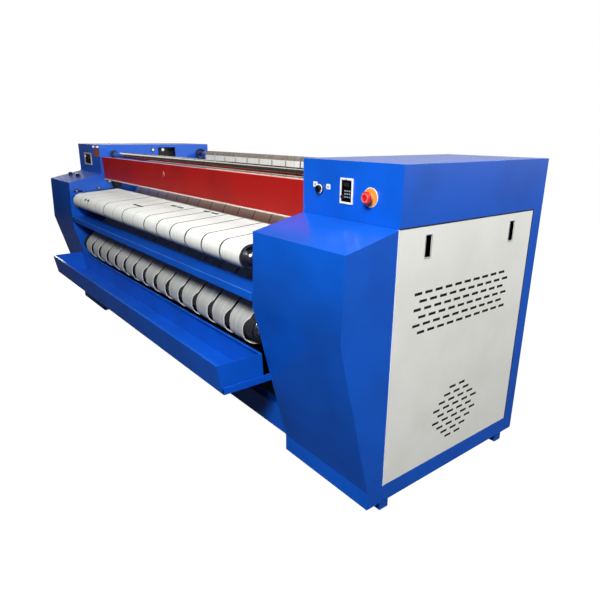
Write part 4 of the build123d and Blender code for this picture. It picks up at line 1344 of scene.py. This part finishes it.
@dataclass
class Cabinets:
    """Both end cabinets: housings, console covers, plinths, feet and rear covers."""

    sheet_edge: float = 2.2  # how far a folded sheet's corner is rounded
    plate_edge: float = 1.0
    screw_radius: float = 5.0

    def build(self) -> None:
        """Build and dress all of it."""
        for node in ("housing_left", "housing_right", "console_cover_left", "console_cover_right"):
            soften_copy(node, self.sheet_edge, 3)
        for node in ("plinths", "rear_covers", "back_panel"):
            soften_copy(node, 1.6)
        for node in ("side_plate_left", "side_plate_right"):
            soften_copy(node, self.plate_edge, 1)
        soften_copy("levelling_feet", 1.5)
        soften_copy("duct_boxes", 2.0)
        self.screw_rear_covers()

    def screw_rear_covers(self) -> None:
        """Screw the rear covers on with small pan-head screws, as such covers are held."""
        low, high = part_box("rear_covers")
        foot = mm(0, -0.5, 0)
        pattern = cylinder("rear_cover_screw", foot, TO_THE_BACK, self.screw_radius, 3.2, 16)
        soften(pattern, 1.3)
        recess(pattern, TO_THE_BACK, 1.2, -1.2)
        places = [
            Vector((side * x * MM, high.y, low.z + share * (high.z - low.z)))
            for side, _ in SIDES
            for x in (PLATE_X + 16.0, OUTER_X - 14.0)
            for share in (0.04, 0.35, 0.65, 0.96)
        ]
        screws = repeat(pattern, "rear_cover_screws", places)
        hand_over(screws, Slot.zinc_plate, body="root")


@dataclass
class AccessPanel:
    """One lift-off panel, with hand slots and round-ended vents, and the dark strip round it that stands for its
    shaded seam.
    """

    side: int  # 1 for the right cabinet, -1 for the left one
    word: str  # the same in a word
    edge: float = 2.2
    slot_size: Pair = (40.0, 90.0)
    slot_rim: float = 4.5
    slot_inset: float = 156.0
    slot_drop: float = 72.0
    # strips along the panel's edges: dark ones as painted shade in the seam, a pale one on the front fold as a
    # painted highlight
    seal_width: float = 5.0
    seal_stand: float = 0.5
    gauze_depth: float = 6.5  # outer face of the panel to the gauze's inner face
    # middles of the fields of vents: from its front, and down from its top or up from its foot
    wide_vents: Pair = (408.5, 323.0)
    round_vents: Pair = (428.5, 196.7)
    slot_edge_area: float = 1e-4  # largest area of a face in a slot's cut edge, in square metres

    def __post_init__(self) -> None:
        """Find its CAD node's two corners."""
        self.low, self.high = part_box(f"access_panel_{self.word}")

    def build(self) -> None:
        """Build and dress all of it; only the right one has vents."""
        panel = soften_copy(f"access_panel_{self.word}", self.edge, 3)
        self.seal()
        self.line_slots()
        if self.side > 0:
            self.back_vents(panel)

    def back_vents(self, panel: Piece) -> None:
        """Stick black filter gauze behind both fields of vents, and paint the vents' cut edges black as painted
        shade.

        Args:
            panel: The panel's softened copy.
        """
        across, down = self.wide_vents
        wide = Vector((0.0, self.low.y + across * MM, self.high.z - down * MM))
        across, up = self.round_vents
        round_field = Vector((0.0, self.low.y + across * MM, self.low.z + up * MM))
        fields = ((wide, 325.0, 105.0), (round_field, 165.0, 140.0))
        back = OUTER_X - self.gauze_depth
        sheets = []
        for middle, half_y, half_z in fields:
            near = middle + mm(back, -half_y, -half_z)
            far = middle + mm(back + 3.0, half_y, half_z)
            sheet = block(f"gauze_{len(sheets)}", near, far)
            recess(sheet, -TO_THE_RIGHT, 12.0, -1.2)
            soften(sheet, 0.6, 1)
            sheets.append(sheet)

        def is_shaded_slot_edge(face: Face) -> bool:
            """Tell whether a face is a slot's cut edge, which is painted black as shade."""
            y, z = face.center.yz
            return face.area < self.slot_edge_area and any(
                abs(y - middle.y) < half_y * MM and abs(z - middle.z) < half_z * MM
                for middle, half_y, half_z in fields
            )

        paint(panel, [PALE_COAT, GAUZE_AND_SLOT_SHADE], is_shaded_slot_edge)
        gauze = join("vent_gauze", sheets)
        hand_over(gauze, Slot.black_plastic, body="panel_right", finish=GAUZE_AND_SLOT_SHADE)

    def line_slots(self) -> None:
        """Set a pale moulded rim into each hand slot."""
        span = mm(3.0, *self.slot_size)
        rims = []
        for y in (self.low.y + self.slot_inset * MM, self.high.y - self.slot_inset * MM):
            middle = Vector((self.side * OUTER_X * MM, y, self.high.z - self.slot_drop * MM))
            rim = block(f"slot_rim_{len(rims)}", middle - span / 2, middle + span / 2)
            pierce(rim, TO_THE_RIGHT, self.slot_rim)
            soften(rim, 0.6)
            rims.append(rim)
        rims = join(f"hand_slot_rims_{self.word}", rims)
        hand_over(rims, Slot.grey_plastic, body=f"panel_{self.word}")

    def seal(self) -> None:
        """Lay a dark strip along its top and rear as painted shade in the seam, and a pale strip on its front fold
        as a painted highlight.
        """
        half = (self.seal_width / 2 + 1.0) * MM
        x = self.side * (OUTER_X + self.seal_stand - 1.0) * MM
        front, rear = self.low.y - half, self.high.y + half
        top, foot = self.high.z + half, self.low.z
        corners = (
            ((x, front, foot), (x, front, top)),
            ((x, rear, foot), (x, rear, top)),
            ((x, front, top), (x, rear, top)),
        )
        lift = self.side * TO_THE_RIGHT
        strips = [
            ridge(f"panel_seam_shade_{i}", Vector(start), Vector(stop), self.seal_width, 1.0, lift)
            for i, (start, stop) in enumerate(corners)
        ]
        lip = strips.pop(0)
        lip.name = f"panel_front_highlight_{self.word}"
        # the pale strip on the front fold: a painted highlight
        hand_over(lip, Slot.panel_paint, body=f"panel_{self.word}", finish=PALE_HIGHLIGHT)
        # the dark strips along the top and rear: painted shade in the seam
        seal = join(f"panel_seam_shade_{self.word}", strips)
        hand_over(seal, Slot.black_plastic, body="root", finish=SEAM_SHADE)


@dataclass
class FingerGuard:
    """The red guard over the feed, its top edge painted pale as a highlight, pivots and switch."""

    edge: float = 1.2
    handle_x: float = -138.0
    rub_depth: float = 8.0
    hook_z: float = 1197.0

    def __post_init__(self) -> None:
        """Find the guard's two corners and its points."""
        self.low, self.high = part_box("finger_guard")
        self.points = [v.co.copy() for v in frame["nodes"]["finger_guard"].data.vertices]

    def build(self) -> None:
        """Build and dress all of it."""
        guard = cad_copy("finger_guard", "finger_guard_folded")
        soften(guard, self.edge)
        # pale pink on the top-facing faces of the top edge and on the underside: a painted highlight
        lit_top = self.high.z - self.rub_depth * MM
        under = self.low.z + 1.2 * MM
        paint(
            guard,
            [RED_COAT, RED_HIGHLIGHT],
            lambda f: (f.center.z > lit_top and f.normal.z > 0.3) or f.center.z < under,
        )
        hand_over(guard, Slot.red_paint, "finger_guard")
        soften_copy("guard_pivots", 0.6)
        soften_copy("guard_switch", 1.2)
        self.edge_hem()
        self.bend_hook()

    def edge_hem(self) -> None:
        """Lay a cream strip along the guard's lower hem, as a painted highlight."""
        y = min(p.y for p in self.points if p.z < self.low.z + 4 * MM) - 1.5 * MM
        start = Vector((self.low.x + 8 * MM, y, self.low.z + 3 * MM))
        stop = Vector((self.high.x - 8 * MM, y, self.low.z + 3 * MM))
        hem = ridge("guard_hem_highlight", start, stop, 7.0, 3.0, OUT_OF_THE_FRONT)
        hand_over(hem, Slot.grey_plastic, body="guard", finish=HEM_HIGHLIGHT)

    def bend_hook(self) -> None:
        """Bend the small wire hook by which the guard is lifted."""
        z = self.hook_z * MM
        lean = (self.high.z - z) / (self.high.z - self.low.z)
        y = min(p.y for p in self.points) + lean * 9.0 * MM
        bpy.ops.mesh.primitive_torus_add(
            major_segments=28,
            minor_segments=10,
            major_radius=13.0 * MM,
            minor_radius=1.1 * MM,
            location=(self.handle_x * MM, y - 1.0 * MM, z),
            rotation=(math.radians(78), 0.0, 0.0),
        )
        hook = new_piece("guard_hook")
        select_points(hook, lambda p: p.z > z)
        with editing(hook, "VERT"):
            bpy.ops.transform.translate(value=(0.0, 0.0, 14.0 * MM))
            bpy.ops.transform.resize(value=(0.55, 1.0, 1.0))
        shade(hook)
        hand_over(hook, Slot.zinc_plate, body="guard", finish=MILD)


@dataclass
class FrameWork:
    """Linen tray, beams, catch pan, stay tube and its collars, between the side plates."""

    sheet_edge: float = 3.0

    def build(self) -> None:
        """Build and dress all of it."""
        for node in ("linen_tray", "upper_beam"):
            sheet = cad_copy(node, f"{node}_folded")
            soften(sheet, self.sheet_edge)
            low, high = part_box(node)
            # the long folds at the front lip get a lighter blue: a painted highlight
            paint_fold_highlights(sheet, high.z - 12 * MM, low.y + 10 * MM)
            hand_over(sheet, Slot.blue_paint, node)
        for node in ("tray_arms", "lower_beams"):
            soften_copy(node, 1.6)
        soften_copy("catch_pan", 1.6)
        soften_copy("front_stay_tube", 0.8, finish=DRAWN)
        soften_copy("tube_collars", 1.5)


@dataclass
class Drive:
    """Gearmotor, pulleys, drive belts, inverter and heater, inside the cabinets."""

    fin_count: int = 9

    def build(self) -> None:
        """Build and dress all of it."""
        for node in ("drum_pulleys", "drive_pulley"):
            soften_copy(node, 1.2)
        soften_copy("drive_belts", 0.6, 1)
        soften_copy("gearmotor", 2.5, 3)
        soften_copy("gearmotor_bracket", 1.5)
        soften_copy("inverter", 3.0, 3)
        soften_copy("heater_core", 0.8, 1)
        soften_copy("heater_posts", 1.2)
        self.fin_inverter()

    def fin_inverter(self) -> None:
        """Stand cooling ribs on the inverter's face toward the side plate."""
        low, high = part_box("inverter")
        span = high - low
        ribs = []
        for i in range(self.fin_count):
            z = low.z + (0.2 + 0.6 * i / (self.fin_count - 1)) * span.z
            start = Vector((low.x, low.y + 0.15 * span.y, z))
            stop = Vector((low.x, high.y - 0.15 * span.y, z))
            ribs.append(ridge(f"inverter_rib_{i}", start, stop, 5.0, 4.0, -TO_THE_RIGHT))
        hand_over(join("inverter_ribs", ribs), Slot.inverter_plastic, body="root")


class Segment(Enum):
    """The seven bars of one display digit: middle across, middle up, and whether it lies flat."""

    top = (0.0, 1.0, True)
    upper_right = (0.5, 0.5, False)
    lower_right = (0.5, -0.5, False)
    bottom = (0.0, -1.0, True)
    lower_left = (-0.5, -0.5, False)
    upper_left = (-0.5, 0.5, False)
    middle = (0.0, 0.0, True)


DIGIT_BARS = {
    0: [s for s in Segment if s is not Segment.middle],
    1: [Segment.upper_right, Segment.lower_right],
    5: [s for s in Segment if s not in (Segment.upper_right, Segment.lower_left)],
    8: list(Segment),
}


def show_digits(
    name: str, digits: tuple[int, ...], middle: Vector, width: float, height: float
) -> Piece:
    """Raise a row of seven-bar digits on a front-facing display.

    Args:
        name: The row's name.
        digits: The digits, left to right.
        middle: Middle of the row, on the display's face, in metres.
        width: One digit's width, in millimetres.
        height: Its height.

    Returns:
        The row.
    """
    bars = []
    thick = width * 0.2
    for place, digit in enumerate(digits):
        shift = (place - (len(digits) - 1) / 2) * width * 1.55
        for segment in DIGIT_BARS[digit]:
            across, up, flat = segment.value
            x, z = shift + across * width, up * height / 2
            half = (width * 0.42, thick / 2) if flat else (thick / 2, height * 0.21)
            low = middle + mm(x - half[0], -0.5, z - half[1])
            high = middle + mm(x + half[0], 0.2, z + half[1])
            bar = block(f"{name}_{len(bars)}", low, high)
            soften(bar, 0.15, 1)
            bars.append(bar)
    return join(name, bars)


@dataclass
class FrontPanel:
    """What both cabinets' front panels share: small raised plates and keys."""

    front: float = -248.0

    def plate(
        self,
        name: str,
        x: Pair,
        z: Pair,
        thickness: float,
        corner: float,
        base: float = 0.0,
    ) -> Piece:
        """Model a front-facing plate with rounded corners and a rolled face edge.

        Args:
            name: Its name.
            x: Its left and right edge, in millimetres.
            z: Its lower and upper edge.
            thickness: How far its face stands off its base.
            corner: Radius of its corners.
            base: How far the base stands off the front panel.

        Returns:
            The plate.
        """
        back = self.front - base
        piece = block(name, mm(x[0], back - thickness, z[0]), mm(x[1], back + 0.2, z[1]))
        select_edges(piece, lambda a, b: abs(a.y - b.y) > 0.1 * MM)
        with editing(piece, "EDGE"):
            bpy.ops.mesh.bevel(offset=corner * MM, segments=5, affect="EDGES")
        soften(piece, min(thickness, corner) * 0.3, 2)
        return piece


@dataclass
class OperatorControls(FrontPanel):
    """Right housing front: selector, keypad and emergency stop, and two bare white plates."""

    keypad_middle: Pair = (1509.5, 1240.5)
    key_size: Pair = (7.0, 5.0)
    key_pitch: Pair = (12.0, 11.0)
    keys_shift: Pair = (7.0, -10.0)
    stop_place: Pair = (1633.0, 1229.0)
    selector_place: Pair = (1357.0, 1237.0)
    worn_ring: Pair = (13.6, 17.4)  # radii on the mushroom's face

    def build(self) -> None:
        """Build and dress all of it."""
        self.fit_keypad()
        self.fit_stop()
        self.fit_selector()
        self.fit_plates()

    def fit_keypad(self) -> None:
        """Keypad: rounded bezel, display digits and nine pale keys."""
        soften_copy("keypad_frame", 1.6, 3)
        soften_copy("keypad_panel", 0.4, finish=DISPLAY)
        soften_copy("keypad_knob", 0.8)
        x, z = self.keypad_middle
        half_x, half_z = self.key_size[0] / 2, self.key_size[1] / 2
        pattern = self.plate("key", (-half_x, half_x), (-half_z, half_z), 1.4, 1.6, base=4.0)
        left, low = x + self.keys_shift[0], z + self.keys_shift[1]
        places = [
            mm(left + column * self.key_pitch[0], 0, low + row * self.key_pitch[1])
            for row in (-1, 0, 1)
            for column in (-1, 0, 1)
        ]
        keys = repeat(pattern, "keypad_keys", places)
        hand_over(keys, Slot.white_plastic, body="root", finish=KEY_GREY)
        display = Vector((x * MM, (self.front - 4.2) * MM, (z + 24.0) * MM))
        digits = show_digits("keypad_digits", (5, 0, 0), display, 6.0, 11.0)
        hand_over(digits, Slot.black_plastic, body="root", finish=UNLIT)
        notch = self.plate("keypad_catch", (x - 3, x + 3), (z + 38.5, z + 43), 1.2, 1.0, base=4.6)
        hand_over(notch, Slot.black_plastic, body="root")

    def fit_stop(self) -> None:
        """Emergency stop: amber disc and a red mushroom with turned rings on its face."""
        x, z = self.stop_place
        soften_copy("estop_base", 1.0)
        foot = mm(x, self.front + 0.2, z)
        ring = cylinder("stop_disc_rim", foot, OUT_OF_THE_FRONT, 35.0, 2.6)
        pierce(ring, OUT_OF_THE_FRONT, 2.6)
        soften(ring, 0.5, 1)
        hand_over(ring, Slot.grey_plastic, body="root", finish=WHITE_PLASTIC)
        button = cad_copy("estop_button", "estop_mushroom")
        # the head is flatter and sits closer than the plain turned one
        under = (self.front - 21.8) * MM
        select_points(button, lambda p: p.y < under)
        with editing(button, "VERT"):
            bpy.ops.transform.resize(
                value=(1.0, 0.66, 1.0), center_override=(x * MM, (self.front - 22.0) * MM, z * MM)
            )
            bpy.ops.transform.translate(value=mm(0, 3.0, 0))
        face_y = min(v.co.y for v in button.data.vertices)
        select_faces(button, lambda c, n: n.y < -0.99 and abs(c.y - face_y) < 0.1 * MM)
        with editing(button):
            for inset, sink in ((4.0, 1.6), (3.0, -1.6), (3.5, 1.2)):
                bpy.ops.mesh.inset(thickness=inset * MM)
                bpy.ops.mesh.extrude_region_move(TRANSFORM_OT_translate={"value": mm(0, sink, 0)})
        soften(button, 0.7)

        def is_ring(face: Face) -> bool:
            """Tell whether a face lies on the ring of the mushroom's face that is painted pink as a highlight."""
            reach = math.hypot(face.center.x / MM - x, face.center.z / MM - z)
            inner, outer = self.worn_ring
            return face.center.y < face_y + 3 * MM and inner < reach < outer

        paint(button, [STOP_RED, RING_HIGHLIGHT], is_ring)
        hand_over(button, Slot.stop_red, "estop_button")

    def fit_selector(self) -> None:
        """Selector: black ring, and a knob with a pale ring and a pointer."""
        soften_copy("selector_knob", 0.8)
        x, z = self.selector_place
        foot = mm(x, self.front - 5.0, z)
        ring = cylinder("selector_ring", foot, OUT_OF_THE_FRONT, 18.5, 2.4, 40)
        recess(ring, OUT_OF_THE_FRONT, 3.2, -1.4)
        recess(ring, TO_THE_BACK, 3.2)
        soften(ring, 0.5, 1)
        hand_over(ring, Slot.white_plastic, body="root")

    def fit_plates(self) -> None:
        """Two small bare white plates over the selector, each with a grey middle."""
        whites, middles = [], []
        for x, z in ((1327.0, 1252.5), (1405.0, 1248.5)):
            name = f"bare_plate_{len(whites)}"
            whites.append(self.plate(name, (x - 12, x + 12), (z - 10, z + 10), 1.2, 1.5))
            inset = self.plate(f"{name}_middle", (x - 4, x + 4), (z - 4, z + 4), 0.6, 0.8, base=1.0)
            middles.append(inset)
        whites = join("bare_plates_white", whites)
        hand_over(whites, Slot.white_plastic, body="root", finish=PLATE_WHITE)
        middles = join("bare_plate_middles", middles)
        hand_over(middles, Slot.grey_plastic, body="root", finish=MARK_GREY)


@dataclass
class TemperatureControls(FrontPanel):
    """Left housing front: controller, two lamps, two turn switches and a bare orange plate."""

    controller_middle: Pair = (-1540.0, 1236.5)
    lamps: tuple[Pair, ...] = ((-1370.0, 1332.0), (-1270.0, 1332.0))
    cap_radius: float = 11.0
    window_bolt: Pair = (262.0, 1308.0)

    def build(self) -> None:
        """Build and dress all of it."""
        soften_copy("controller_frame", 2.0, 3)
        soften_copy("controller_face", 0.6, finish=DISPLAY)
        x, z = self.controller_middle
        display = Vector(((x + 22.0) * MM, (self.front - 4.2) * MM, (z + 10.0) * MM))
        digits = show_digits("controller_digits", (1, 8, 0), display, 9.0, 14.0)
        hand_over(digits, Slot.stop_red, body="root", finish=DIGITS)
        foot = mm(x - 45, self.front - 7.5, z + 18.5)
        button = cylinder("controller_button", foot, OUT_OF_THE_FRONT, 9.5, 3.2, 32)
        recess(button, OUT_OF_THE_FRONT, 2.0, 1.2)
        soften(button, 0.7)
        hand_over(button, Slot.white_plastic, body="root")
        plate = self.plate("bare_plate_orange", (-1376.0, -1257.0), (1261.0, 1318.0), 1.4, 4.0)
        hand_over(plate, Slot.stop_amber, body="root", finish=PLATE_ORANGE)
        self.fit_lamps()
        self.fit_switches()
        self.fit_window_bolt()

    def fit_window_bolt(self) -> None:
        """A white capped bolt on a black washer, at the front edge of the dark side window."""
        y, z = self.window_bolt
        foot = mm(-PLATE_X - 0.5, y, z)
        washer = cylinder("window_bolt_washer", foot, TO_THE_RIGHT, 19.0, 3.0, 32)
        cap = cylinder("window_bolt_cap", foot, TO_THE_RIGHT, 11.0, 9.0, 32)
        for piece, slot in ((washer, Slot.black_plastic), (cap, Slot.white_plastic)):
            recess(piece, TO_THE_RIGHT, 4.0, 0.8)
            soften(piece, 1.0)
            hand_over(piece, slot, body="root")

    def fit_lamps(self) -> None:
        """Lamps: a domed lens in each bezel."""
        soften_copy("indicator_lamps", 1.0)
        lenses = []
        for x, z in self.lamps:
            bpy.ops.mesh.primitive_uv_sphere_add(
                segments=32, ring_count=16, radius=7.0 * MM, location=mm(x, self.front - 8.0, z)
            )
            lens = new_piece(f"lamp_lens_{len(lenses)}")
            cut = {"plane_co": mm(0, self.front - 8.0, 0), "plane_no": TO_THE_BACK}
            with editing(lens, whole=True):
                bpy.ops.mesh.bisect(**cut, clear_outer=True, use_fill=True)
            shade(lens, 40)
            lenses.append(lens)
        hand_over(join("lamp_lenses", lenses), Slot.white_plastic, body="root", finish=LAMP)

    def fit_switches(self) -> None:
        """Turn switches: softened bezels and knobs, with pale caps as the front ones have."""
        soften_copy("switch_bases", 1.0)
        for node in ("rotary_knob_1", "rotary_knob_2"):
            soften_copy(node, 0.8)
            low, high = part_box(node)
            middle = (low + high) / 2
            up = Vector((0, -math.sin(math.radians(12.5)), math.cos(math.radians(12.5))))
            reach = max((v.co - middle).dot(up) for v in frame["nodes"][node].data.vertices)
            top = middle + up * (reach - 1.0 * MM)
            cap = cylinder(f"{node}_cap", top, up, self.cap_radius, 3.4, 32)
            recess(cap, up, 3.0, -0.8)
            soften(cap, 0.5)
            hand_over(cap, Slot.white_plastic, body=NODE_BODIES[node])


@dataclass
class PlateFittings:
    """Bolt heads on the side plates' inner faces, each with its washer."""

    washer: float = 3.5

    def build(self) -> None:
        """Build and dress all of it."""
        soften_copy("plate_bolts", 1.2)
        places = [(177.0, 1308.0, 12.5), (-195.0, 1078.0, 12.5), (-282.0, 1032.0, 8.0)]
        places += [(-447.0, 1017.0, 9.0), (-459.0, 895.0, 8.0)]
        washers = []
        for side in (-1, 1):
            for y, z, radius in places:
                foot = mm(side * (PLATE_X + 0.2), y, z)
                inward = -side * TO_THE_RIGHT
                reach = radius + self.washer
                ring = cylinder(f"washer_{len(washers)}", foot, inward, reach, 2.0, 32)
                recess(ring, inward, 2.5, -0.8)
                soften(ring, 0.5, 1)
                washers.append(ring)
        hand_over(join("plate_bolt_washers", washers), Slot.zinc_plate, body="root", finish=RUBBER)


# ---------------------------------------------------------------- studio
@dataclass(frozen=True)
class SoftBox:
    """One soft light: where it hangs and points, its size in metres and its power in watts."""

    name: str
    place: Triple
    target: Triple
    size: Pair
    watts: float

    def hang(self) -> None:
        """Hang the light."""
        lamp = bpy.data.lights.new(self.name, "AREA")
        lamp.shape = "RECTANGLE"
        lamp.size, lamp.size_y = self.size
        lamp.energy = self.watts
        light = bpy.data.objects.new(self.name, lamp)
        bpy.context.scene.collection.objects.link(light)
        light.location = self.place
        way = Vector(self.target) - Vector(self.place)
        light.rotation_euler = way.to_track_quat("-Z", "Y").to_euler()


SOFT_BOXES = (
    SoftBox("key_light", (3.1, -2.8, 3.7), (1.2, -0.2, 1.0), (1.5, 1.1), 285),
    SoftBox("side_light", (4.2, 3.4, 2.5), (1.8, 0.4, 0.6), (1.5, 1.2), 118),
    SoftBox("top_light", (1.2, 0.8, 4.6), (0.4, 0, 1), (3.6, 0.7), 70),
    # low fills for the left side and the back, which the ends hide from the front
    SoftBox("left_fill", (-5.4, 0.7, 0.8), (-1.8, 0.2, 0.7), (1.8, 1.2), 50),
    SoftBox("rear_fill", (-0.8, 5.2, 0.8), (0, 0.7, 0.6), (3.2, 1.0), 60),
    # two weak cards, which only the bright tubes and the drum reflect
    SoftBox("left_card", (-4.6, -0.4, 3.9), (0, 0, 1.2), (1.6, 3.2), 16),
    SoftBox("far_card", (-5.2, 1.9, 2.9), (0, 0.2, 1.2), (1.2, 0.5), 3),
)


@dataclass
class Studio:
    """Camera, soft lights, a white sky and a plain pale floor."""

    camera_place: Triple = (2.9453, -1.593, 1.4414)
    yaw: float = 141.83
    pitch: float = -17.65
    roll: float = 0.455
    focal_pixels: float = 522.86
    frame_pixels: float = 600.0
    sensor_width: float = 36.0
    sky_light: float = 0.06
    wall_light: float = 0.7

    def build(self) -> None:
        """Set up the camera, the lights, the sky and the floor."""
        bpy.context.scene.view_settings.view_transform = "Standard"
        self.place_camera()
        for box in SOFT_BOXES:
            box.hang()
        self.hang_sky()
        self.lay_floor()

    def place_camera(self) -> None:
        """Stand the camera where the photograph was taken from."""
        lens = bpy.data.cameras.new("photo_camera")
        lens.sensor_width = self.sensor_width
        lens.lens = self.focal_pixels * self.sensor_width / self.frame_pixels
        lens.clip_end = 200.0
        camera = bpy.data.objects.new("photo_camera", lens)
        bpy.context.scene.collection.objects.link(camera)
        yaw, pitch, roll = (math.radians(a) for a in (self.yaw, self.pitch, self.roll))
        level = math.cos(pitch)
        forward = Vector((level * math.cos(yaw), level * math.sin(yaw), math.sin(pitch)))
        right = forward.cross(UP).normalized()
        up = right.cross(forward)
        turned_right = math.cos(roll) * right + math.sin(roll) * up
        turned_up = -math.sin(roll) * right + math.cos(roll) * up
        axes = Matrix((turned_right, turned_up, -forward)).transposed()
        camera.matrix_world = Matrix.Translation(Vector(self.camera_place)) @ axes.to_4x4()
        bpy.context.scene.camera = camera

    def hang_sky(self) -> None:
        """Set a sky that shows white and lights the object weakly."""
        sky = bpy.data.worlds.new("white_studio")
        sky.use_nodes = True
        tree = sky.node_tree
        seen = tree.nodes["Background"]
        seen.inputs["Color"].default_value = (1.0, 1.0, 1.0, 1.0)
        place = add_node(tree, "ShaderNodeTexCoord")
        way = place.outputs["Generated"]
        split = add_node(tree, "ShaderNodeSeparateXYZ", links={"Vector": way})
        # a white wall stands low at the left rear: only grazing reflections on tops show it
        low = add_node(
            tree,
            "ShaderNodeMapRange",
            inputs={"From Min": 0.22, "From Max": 0.08},
            links={"Value": split.outputs["Z"]},
        )
        toward = add_node(
            tree,
            "ShaderNodeVectorMath",
            inputs={1: (-0.6, 0.8, 0.0)},
            links={0: way},
            operation="DOT_PRODUCT",
        )
        rear = add_node(
            tree,
            "ShaderNodeMapRange",
            inputs={"From Min": 0.4, "From Max": 0.75},
            links={"Value": toward.outputs["Value"]},
        )
        wall = add_node(
            tree,
            "ShaderNodeMath",
            links={0: low.outputs["Result"], 1: rear.outputs["Result"]},
            operation="MULTIPLY",
        )
        fade = add_node(
            tree,
            "ShaderNodeMapRange",
            inputs={"To Min": self.sky_light, "To Max": self.wall_light},
            links={"Value": wall.outputs["Value"]},
        )
        unseen = add_node(
            tree,
            "ShaderNodeBackground",
            inputs={"Color": (1.0, 1.0, 1.0, 1.0)},
            links={"Strength": fade.outputs["Result"]},
        )
        path = add_node(tree, "ShaderNodeLightPath")
        both = add_node(
            tree,
            "ShaderNodeMixShader",
            links={
                0: path.outputs["Is Camera Ray"],
                1: unseen.outputs["Background"],
                2: seen.outputs["Background"],
            },
        )
        tree.links.new(both.outputs["Shader"], tree.nodes["World Output"].inputs["Surface"])
        bpy.context.scene.world = sky

    def lay_floor(self) -> None:
        """Lay the plain pale floor."""
        bpy.ops.mesh.primitive_plane_add(size=60.0)
        floor = bpy.context.object
        floor.name = "studio_floor"
        paper = Finish("studio_floor", "#1E1E1E", 0.9).material()
        shader = paper.node_tree.nodes["Principled BSDF"]
        path = add_node(paper.node_tree, "ShaderNodeLightPath")
        shader.inputs["Emission Color"].default_value = (1.0, 1.0, 1.0, 1.0)
        seen = path.outputs["Is Camera Ray"]
        paper.node_tree.links.new(seen, shader.inputs["Emission Strength"])
        floor.data.materials.append(paper)


def main() -> None:
    """Build the sub-assemblies in order, then the studio."""
    logging.basicConfig(level=logging.INFO, format="%(message)s")
    dress_cad_nodes()
    for assembly in (
        Cabinets(),
        *(AccessPanel(side, word) for side, word in SIDES),
        FrameWork(),
        FeedConveyor(),
        IroningSection(),
        FingerGuard(),
        Drive(),
        OperatorControls(),
        TemperatureControls(),
        PlateFittings(),
    ):
        log.info("-- %s", type(assembly).__name__)
        assembly.build()
    Studio().build()


if __name__ == "__main__":
    main()
